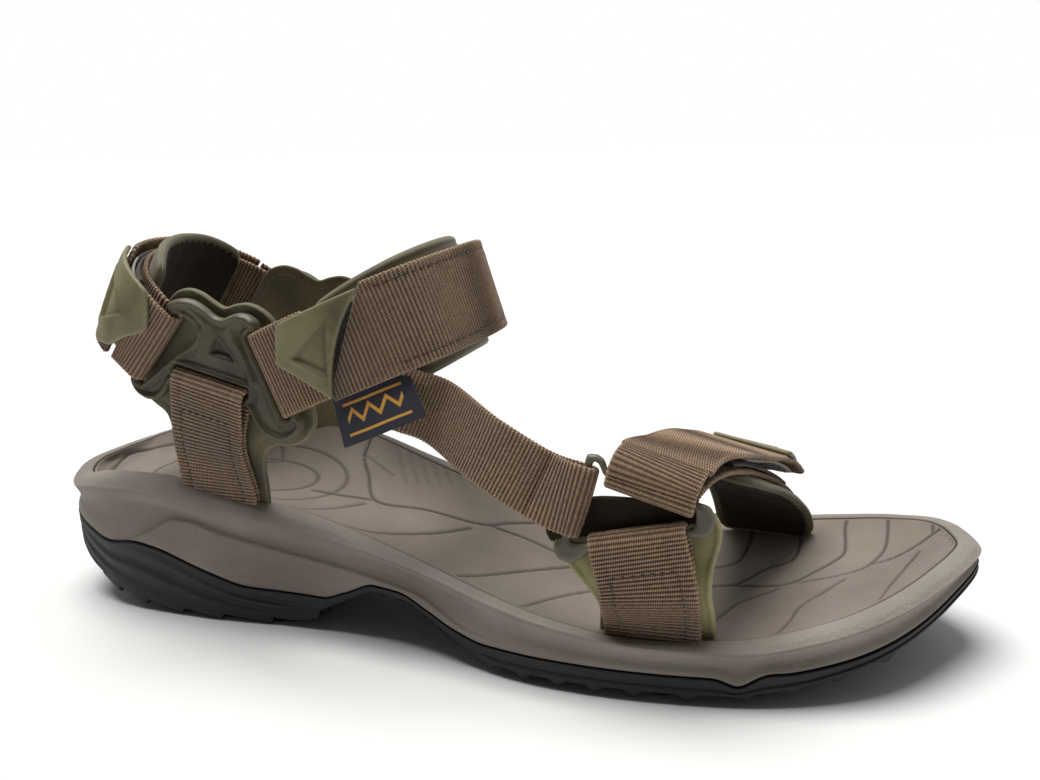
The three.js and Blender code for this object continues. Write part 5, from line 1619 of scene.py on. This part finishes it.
# ---- closures: one continuous strap each
def closure(name, band, s_fix, s_free, width, flap, nodes, hinge, reach, mat=CLOSURE, lift_of=None,
    seams=(3.0,), slant=None, **more):
    n = (CLO0 + CLO1) / 2
    height = (lambda s: n + lift_of(s)) if lift_of else n
    C, W, Q, s = straight(band, s_free, s_fix, height)
    half = width / 2
    if slant:  # the free end is cut from (s, v) to (s, v)
        (sa, va), (sb, vb) = slant
        edge = np.clip(np.interp(s, [sa, sb], [va, vb]), -half, half)
        low, high = (edge, np.full(len(s), half)) if va > vb else (np.full(len(s), -half), edge)
        C, half = C + W * ((low + high) / 2)[:, None], (high - low) / 2
    o = ribbon(name, C, W, Q, s - s_free, half, CLOSURE_T, mat, seams=seams, rib=0.16, pitch=RIB * 1.04,
        **more)
    outward(o)
    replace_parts(o, *nodes)
    P, T, _, _ = band.frame(np.array([hinge]))
    side = 1 if s_free < hinge else -1
    start, end = (P[0] + T[0] * reach * side) * MM, (P[0] - T[0] * reach * side) * MM
    tuple(start)
    tuple(end)
    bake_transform(o)
    return o, (tuple(start), tuple(end))


HEEL_HINGE, HEEL_TIP = HL * 0.72, 2
INS_HINGE, INS_TIP = IL * 0.56, 5
TOE_HINGE, TOE_END = 9.5, TL * 0.78
TOE_LIFT = 3.4  # how far the forefoot flap bows off its strap


def toe_lift(s):
    return TOE_LIFT * ease((np.asarray(s, float) - TL * 0.42) / (TL * 0.36))


_, heel_bend = closure("heel_closure", HEEL, HL - 9.5, 13, HEEL_CLOSURE_W, "heel_flap",
    ["heel_closure_strap", "heel_closure_flap"], HEEL_HINGE, 3.0, slant=((13, -9), (36, HEEL_CLOSURE_W / 2)))
_, instep_bend = closure("instep_closure", INSTEP, IL - 13.5, 17.3, CLOSURE_W, "instep_flap",
    ["instep_closure_strap", "instep_closure_flap"], INS_HINGE, 3.5,
    slant=((17.3, CLOSURE_W / 2 - 3), (36, -CLOSURE_W / 2)))
closure("toe_closure", TOE, TOE_HINGE + 0.1, TOE_END, TOE_CLOSURE_W, "toe_flap", ["toe_closure_flap"],
    TOE_HINGE + 3.2, 3.0, lift_of=toe_lift, seams=())


def seam_runs(band, s0, s1, half, inset, n):
    s = np.linspace(s0, s1, max(20, int(abs(s1 - s0) / 1.0)))
    n = n(s) if callable(n) else n
    return [band_run(band, s, v, n) for v in (-half + inset, half - inset)]


def closure_stitches(name, band, s0, s1, width, bend, inset=3.0):
    o = stitches(name, THREAD_DARK, seam_runs(band, s0, s1, width / 2, inset, CLO1 - 0.08), 2.3, 0.7, 0.2)
    outward(o)
    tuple(bend[0])
    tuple(bend[1])
    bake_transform(o)


closure_stitches("heel_closure_stitches", HEEL, 39, HL - 11, HEEL_CLOSURE_W, heel_bend)
closure_stitches("instep_closure_stitches", INSTEP, 39, IL - 15, CLOSURE_W, instep_bend)


# ---- hook and loop tapes
def tape(name, band, s0, s1, half, n0, n1, mat, body, node, fuzz, lift_of=None, face=1):
    """A tape with a fuzzy face: face is 1 when the fuzz looks outward."""
    mid = (n0 + n1) / 2
    C, W, Q, s = straight(band, s0, s1, (lambda q: mid + lift_of(q)) if lift_of else mid, 0.55)
    t = (n1 - n0) - 0.5
    sec = section(half, t, (), 26)
    a, b, k = sec.T
    n, m = len(s), len(a)
    rough = rng.random((n, m)) * fuzz
    margin = (np.abs(a) > half - 1.3).astype(float)
    disp = (0.1 + rough) * k[None, :] * (1 - margin)[None, :] * (k * face > 0.5)[None, :]
    X = (
        C[:, None, :] + W[:, None, :] * (a[None, :] + 0.12 * rng.random((n, m)) * np.sign(a)[None, :])[...,
        None]
        + Q[:, None, :] * (b[None, :] + disp)[..., None]
    )
    faces = grid_faces(n, m) + [list(range(m))[::-1], list(range((n - 1) * m, n * m))]
    uv = np.stack([np.repeat(s, m), np.tile(a, n)], -1)
    o = mesh(name, X.reshape(-1, 3), faces, uv, attributes={"edge": np.tile(margin, n)}, materials=[mat])
    return finish_piece(o, body, "hook_and_loop", node)


tape("heel_loop_tape", HEEL, 17, HL * 0.66, 11.5, LOOP0, LOOP1, LOOP_TAPE, "sandal", "heel_loop_patch", 0.22)
tape("heel_hook_tape", HEEL, 20, HL * 0.6, 11, HOOK0, HOOK1, HOOK_TAPE, "heel_flap", "heel_hook_patch",
    0.22, face=-1)
tape("instep_loop_tape", INSTEP, 19.5, IL * 0.5, 12, LOOP0, LOOP1, LOOP_TAPE, "sandal", "instep_loop_patch",
    0.22)
tape("instep_hook_tape", INSTEP, 21, IL * 0.46, 11.5, HOOK0 + 0.05, HOOK1 - 0.2, HOOK_TAPE, "instep_flap",
    "instep_hook_patch", 0.2, face=-1)
tape("toe_loop_tape", TOE, TL * 0.3, TL * 0.74, 11, LOOP0, LOOP1, LOOP_TAPE, "sandal", "toe_loop_patch", 0.24)
tape("toe_hook_tape", TOE, TL * 0.42, TL * 0.76, 10.5, HOOK0, HOOK1, HOOK_TAPE, "toe_flap",
    "toe_hook_patch", 0.24, lift_of=toe_lift, face=-1)


# ---- pull tabs
def tab(name, band, outline, triangle, body, node, lift_of=None, dome=0.5):
    loop = rounded(outline, 1.6, 5)
    tri = np.array(triangle, float)

    def top(x, y, d):
        p = np.c_[x, y]
        within = inside(p, tri)
        dt = seg_distance(p, [tri])
        into = np.where(within, ease(dt / 1.1), 0.0)
        lip = np.where(within, 0.0, np.exp(-((dt / 0.9) ** 2)))
        return TAB_T - 0.55 + dome * (1 - np.exp(-d / 2.5)) * 0.8 + 0.34 * lip - 1.1 * into

    # painted shade inside the recessed triangle
    def hollow(x, y, d):
        p = np.c_[x, y]
        return np.where(inside(p, tri), 1.0, 0.0) * np.exp(-((seg_distance(p, [tri]) - 0.9) / 0.8) ** 2) * 0.9

    def place(x, y, h):
        n = TAB0 + h + (lift_of(x) if lift_of else 0)
        return band.put(x, y, n)

    o = relief(name, [loop], place, top, lambda x, y, d: np.zeros(len(x)), TAB, 0.55, 0.6, hollow=hollow)
    return finish_piece(o, body, "tab_polymer", node)


def bowed(p, q, sag, steps=6):
    """Points along the edge from p to q, curved inward by sag in the middle."""
    p, q = np.array(p, float), np.array(q, float)
    side = np.array([-(q - p)[1], (q - p)[0]]) / np.linalg.norm(q - p)
    return [tuple(p + (q - p) * t + side * sag * 4 * t * (1 - t)) for t in np.linspace(0, 1, steps + 1)[1:-1]]


INS_TAB = [(INS_TIP, -1.6), (INS_TIP + 4.6, -12.6), (INS_TIP + 30.6, -13.2),
    *bowed((INS_TIP + 30.6, -13.2), (INS_TIP + 12.2, 14.2), 2.4), (INS_TIP + 12.2, 14.2)]
tab("instep_tab", INSTEP, INS_TAB, [(10.2, -1.6), (24.8, -8.6), (18.6, 7.6)], "instep_flap",
    "instep_pull_tab")
HEEL_TAB = [(HEEL_TIP, 4.6), (HEEL_TIP + 8.4, -9.6), (HEEL_TIP + 14.6, -12.4),
    *bowed((HEEL_TIP + 14.6, -12.4), (HEEL_TIP + 34, 13.4), 2.0), (HEEL_TIP + 34, 13.4), (HEEL_TIP + 5, 15)]
tab("heel_tab", HEEL, HEEL_TAB, [(10, 2.6), (18.6, -6.4), (25.4, 9.4)], "heel_flap", "heel_pull_tab",
    dome=0.6)
tab("toe_tab", TOE, [(TOE_END - 16, -14), (TOE_END + 3, -10), (TOE_END + 3, 10), (TOE_END - 16, 14)],
    [(TOE_END - 12, -7), (TOE_END - 2, 0), (TOE_END - 12, 7)],
    "toe_flap", "toe_pull_tab", lift_of=toe_lift)

# ---- woven label
LEAN, LABEL_S, LABEL_L, LABEL_H = 0.3, 15, 24, 15


def label_place(x, y, h):
    s = x + LABEL_S + LABEL_L / 2
    P, _, W, N = INSTEP.frame(s)
    c, d = math.cos(LEAN), math.sin(LEAN)
    base = P + W * (CLOSURE_W / 2 + 6.6) + N * (2.55 + 0.4 * (s - LABEL_S) / LABEL_L)[:, None]
    return base + (W * c + N * d) * y[:, None] + (N * c - W * d) * (h + 0.12 * np.sin(x * 0.5))[:, None]


corner = [(-LABEL_L / 2, -LABEL_H / 2), (LABEL_L / 2, -LABEL_H / 2), (LABEL_L / 2, LABEL_H / 2),
    (-LABEL_L / 2, LABEL_H / 2)]
label = relief("side_label_cloth", [rounded(corner, 0.5, 3)], label_place, lambda x, y,
    d: np.full(len(x), 0.36) - 0.1 * ridge(d, 1.2, 0.3), lambda x, y, d: np.full(len(x), -0.36), LABEL, 0.6,
    0.3)
finish_piece(label, "sandal", "label_cloth", "side_label")


# ------------------------------------------------------------------ padded pieces
def pad(name, band, s0, s1, lo, hi, n0, n1, mat, back, node, slot="pad_cover", step=0.8, seam=2.4,
    wrinkle=0.12):
    """A foam pad between two heights: crowned, with a bound edge and a sewn line inside it."""
    s = np.linspace(s0, s1, int((s1 - s0) / step))
    t = (s - s0) / (s1 - s0)
    m = 44
    w = np.linspace(-1, 1, m)
    S, Wd = np.meshgrid(s, w, indexing="ij")
    Tt = np.broadcast_to(t[:, None], S.shape)
    a, b = lo(Tt), hi(Tt)
    end = np.minimum(Tt, 1 - Tt) * (s1 - s0)
    # rounded corners in plan
    round_off = 6 * (1 - np.sqrt(np.clip(1 - (1 - np.clip(end / 6, 0, 1)) ** 2, 0, 1)))
    a, b = a + round_off, b - round_off
    v = (a + b) / 2 + (b - a) / 2 * np.sin(Wd * math.pi / 2 * 0.985) / math.sin(math.pi / 2 * 0.985)
    d = np.minimum(np.minimum(v - a, b - v), end)
    thick = (n1 - n0) / 2
    r = 1.7
    e = np.sqrt(np.clip(1 - (1 - np.clip(d / r, 0, 1)) ** 2, 0, 1))
    crown = 0.72 + 0.28 * ease(d / 9)
    stitch = np.exp(-(((d - seam) / 0.5) ** 2))
    folds = wrinkle * (np.sin(S / 3.1 + v * 0.35) * np.sin(v / 2.7)
        + 0.6 * np.sin(S / 1.7 - v * 0.2)) * ease((d - 2) / 4)
    mid = (n0 + n1) / 2
    up = mid + thick * e * np.minimum(1, crown + 0.10) - 0.5 * stitch * 0.4
    dn = mid - thick * e * crown + 0.55 * stitch + folds
    top, low = band.put(S, v, up), band.put(S, v, dn)
    n, mm = S.shape
    verts = np.vstack([top.reshape(-1, 3), low.reshape(-1, 3)])
    faces, fm = [], []
    g = grid_faces(n, mm, close_cols=False)
    faces += g
    fm += [0] * len(g)
    g = [q[::-1] for q in grid_faces(n, mm, close_cols=False, start=n * mm)]
    faces += g
    rows = np.repeat(np.arange(n - 1), mm - 1)
    cols = np.tile(np.arange(mm - 1), n - 1)
    lined = (d[:-1, :-1][rows.reshape(n - 1, mm - 1), cols.reshape(n - 1, mm - 1)] > seam).ravel()
    fm += lined.astype(int).tolist()
    for j in (0, mm - 1):
        for i in range(n - 1):
            p = i * mm + j
            faces.append((p, p + mm, p + mm + n * mm, p + n * mm))
            fm.append(0)
    for i in (0, n - 1):
        for j in range(mm - 1):
            p = i * mm + j
            faces.append((p, p + 1, p + 1 + n * mm, p + n * mm))
            fm.append(0)
    # painted shade along the sewn line and a painted highlight on the rounded edge
    at = {"hollow": np.tile((0.7 * stitch).ravel(), 2),
        "edge": np.tile(np.exp(-((d - 0.9) / 0.6) ** 2).ravel(), 2)}
    uv = np.tile(np.stack([S.ravel(), v.ravel()], -1), (2, 1))
    o = mesh(name, verts, faces, uv, attributes=at, materials=[mat, back], face_material=fm)
    finish_piece(o, "sandal", slot, node)
    inner = []
    ss = np.linspace(s0 + 3, s1 - 3, 120)
    tt = (ss - s0) / (s1 - s0)
    for vv in (lo(tt) + seam, hi(tt) - seam):
        q, nn = band_run(band, ss, vv, np.full(len(ss), mid - thick * 0.80 + 0.42))
        inner.append((q, -nn))
    th = stitches(name + "_stitches", THREAD_GREY, inner, 1.7, 1.1, 0.2)
    finish_piece(th, "sandal", slot)
    return o


pad("heel_collar", HEEL, 15, HL - 15, lambda t: -COLLAR_W / 2 + 3 * np.abs(2 * t - 1) ** 4,
    lambda t: COLLAR_W / 2 + 1 - 4 * np.abs(2 * t - 1) ** 3, PAD0, PAD1, PAD, LINING, "heel_collar_pad")
pad("instep_padding", INSTEP, 15, IL - 15, lambda t: -INSTEP_PAD_W / 2 + 5 * np.abs(2 * t - 1) ** 4,
    lambda t: INSTEP_PAD_W / 2 - 5 * np.abs(2 * t - 1) ** 6, PAD0, PAD1, PAD, LINING, "instep_pad")
pad("toe_padding", TOE, TL * 0.36, TL - 4, lambda t: -TOE_PAD_W / 2 + 3 * (1 - t) ** 6,
    lambda t: TOE_PAD_W / 2 - 3 * (1 - t) ** 6, PAD1 - 3.4, PAD1, PAD, LINING, "toe_strap_pad")

# ------------------------------------------------------------------ hidden CAD pieces
for node, material, slot in (("shank", SHANK, "shank_nylon"), ("heel_shock_pad", GEL, "shock_pad_gel")):
    o = frame["nodes"][node]
    o.data.materials.clear()
    o.data.materials.append(material)

# ------------------------------------------------------------------ stage
def floor():
    m = Mat("studio_floor", Roughness=0.95)
    c = m.coord()
    tone = m.ramp(m.noise(c, 3.0, 2.0), [(0.3, (0.74, 0.74, 0.74, 1)), (0.7, (0.77, 0.77, 0.77, 1))])
    m.done(tone)
    n, size = 40, 9.0
    g = np.linspace(-1, 1, n) * size
    X, Y = np.meshgrid(g, g, indexing="ij")
    me = bpy.data.meshes.new("floor")
    me.from_pydata(np.stack([X, Y, X * 0], -1).reshape(-1, 3).tolist(), [],
        grid_faces(n, n, close_cols=False))
    me.materials.append(m.m)
    o = bpy.data.objects.new("floor", me)
    bpy.context.scene.collection.objects.link(o)


floor()


def sun(name, strength, angle, toward, color=(1, 1, 1)):
    l = bpy.data.lights.new(name, "SUN")
    l.energy, l.angle, l.color = strength, math.radians(angle), color
    o = bpy.data.objects.new(name, l)
    o.rotation_euler = Vector(toward).to_track_quat("-Z", "Y").to_euler()
    bpy.context.scene.collection.objects.link(o)


KEY_STRENGTH, KEY_ANGLE, KEY_TOWARD, KEY_COLOUR = 3.6, 40, (0.22, -0.10, -1.0), (1, 0.99, 0.97)
sun("key", KEY_STRENGTH, KEY_ANGLE, KEY_TOWARD, KEY_COLOUR)

world = bpy.data.worlds.new("studio")
world.use_nodes = True
tree = world.node_tree
background = tree.nodes["Background"]
direction = tree.nodes.new("ShaderNodeTexCoord")
parts = tree.nodes.new("ShaderNodeSeparateXYZ")
span = tree.nodes.new("ShaderNodeMapRange")
tree.links.new(direction.outputs["Generated"], parts.inputs[0])
tree.links.new(parts.outputs["Y"], span.inputs["Value"])
# dim in front, bright behind
SKY_FADE = {"From Min": -0.35, "From Max": 0.45, "To Min": 0.08, "To Max": 0.62}
for name, value in SKY_FADE.items():
    span.inputs[name].default_value = value
# the backdrop itself is plain white; only the light that it gives is softer from the front
rays = tree.nodes.new("ShaderNodeLightPath")
shown = tree.nodes.new("ShaderNodeMix")
shown.inputs["B"].default_value = 1.0
tree.links.new(rays.outputs["Is Camera Ray"], shown.inputs["Factor"])
tree.links.new(span.outputs[0], shown.inputs["A"])
tree.links.new(shown.outputs["Result"], background.inputs["Strength"])
background.inputs["Color"].default_value = (1, 1, 1, 1)
bpy.context.scene.world = world
bpy.context.scene.view_settings.view_transform = "Standard"

CAMERA_LENS, CAMERA_SENSOR = 38.06, 36  # mm
CAMERA_AT = (0.1179, -0.3211, 0.1544)  # metres
camera = bpy.data.cameras.new("camera")
camera.lens, camera.sensor_width = CAMERA_LENS, CAMERA_SENSOR
camera_object = bpy.data.objects.new("camera", camera)
right, up, back = Vector((0.9524, 0.3036, -0.026)), Vector((-0.0458, 0.2271, 0.9728)), Vector((0.3013,
    -0.9253, 0.2302))
camera_object.matrix_world = Matrix.Translation(CAMERA_AT) @ Matrix((right, up, back)).transposed().to_4x4()
bpy.context.scene.collection.objects.link(camera_object)
bpy.context.scene.camera = camera_object
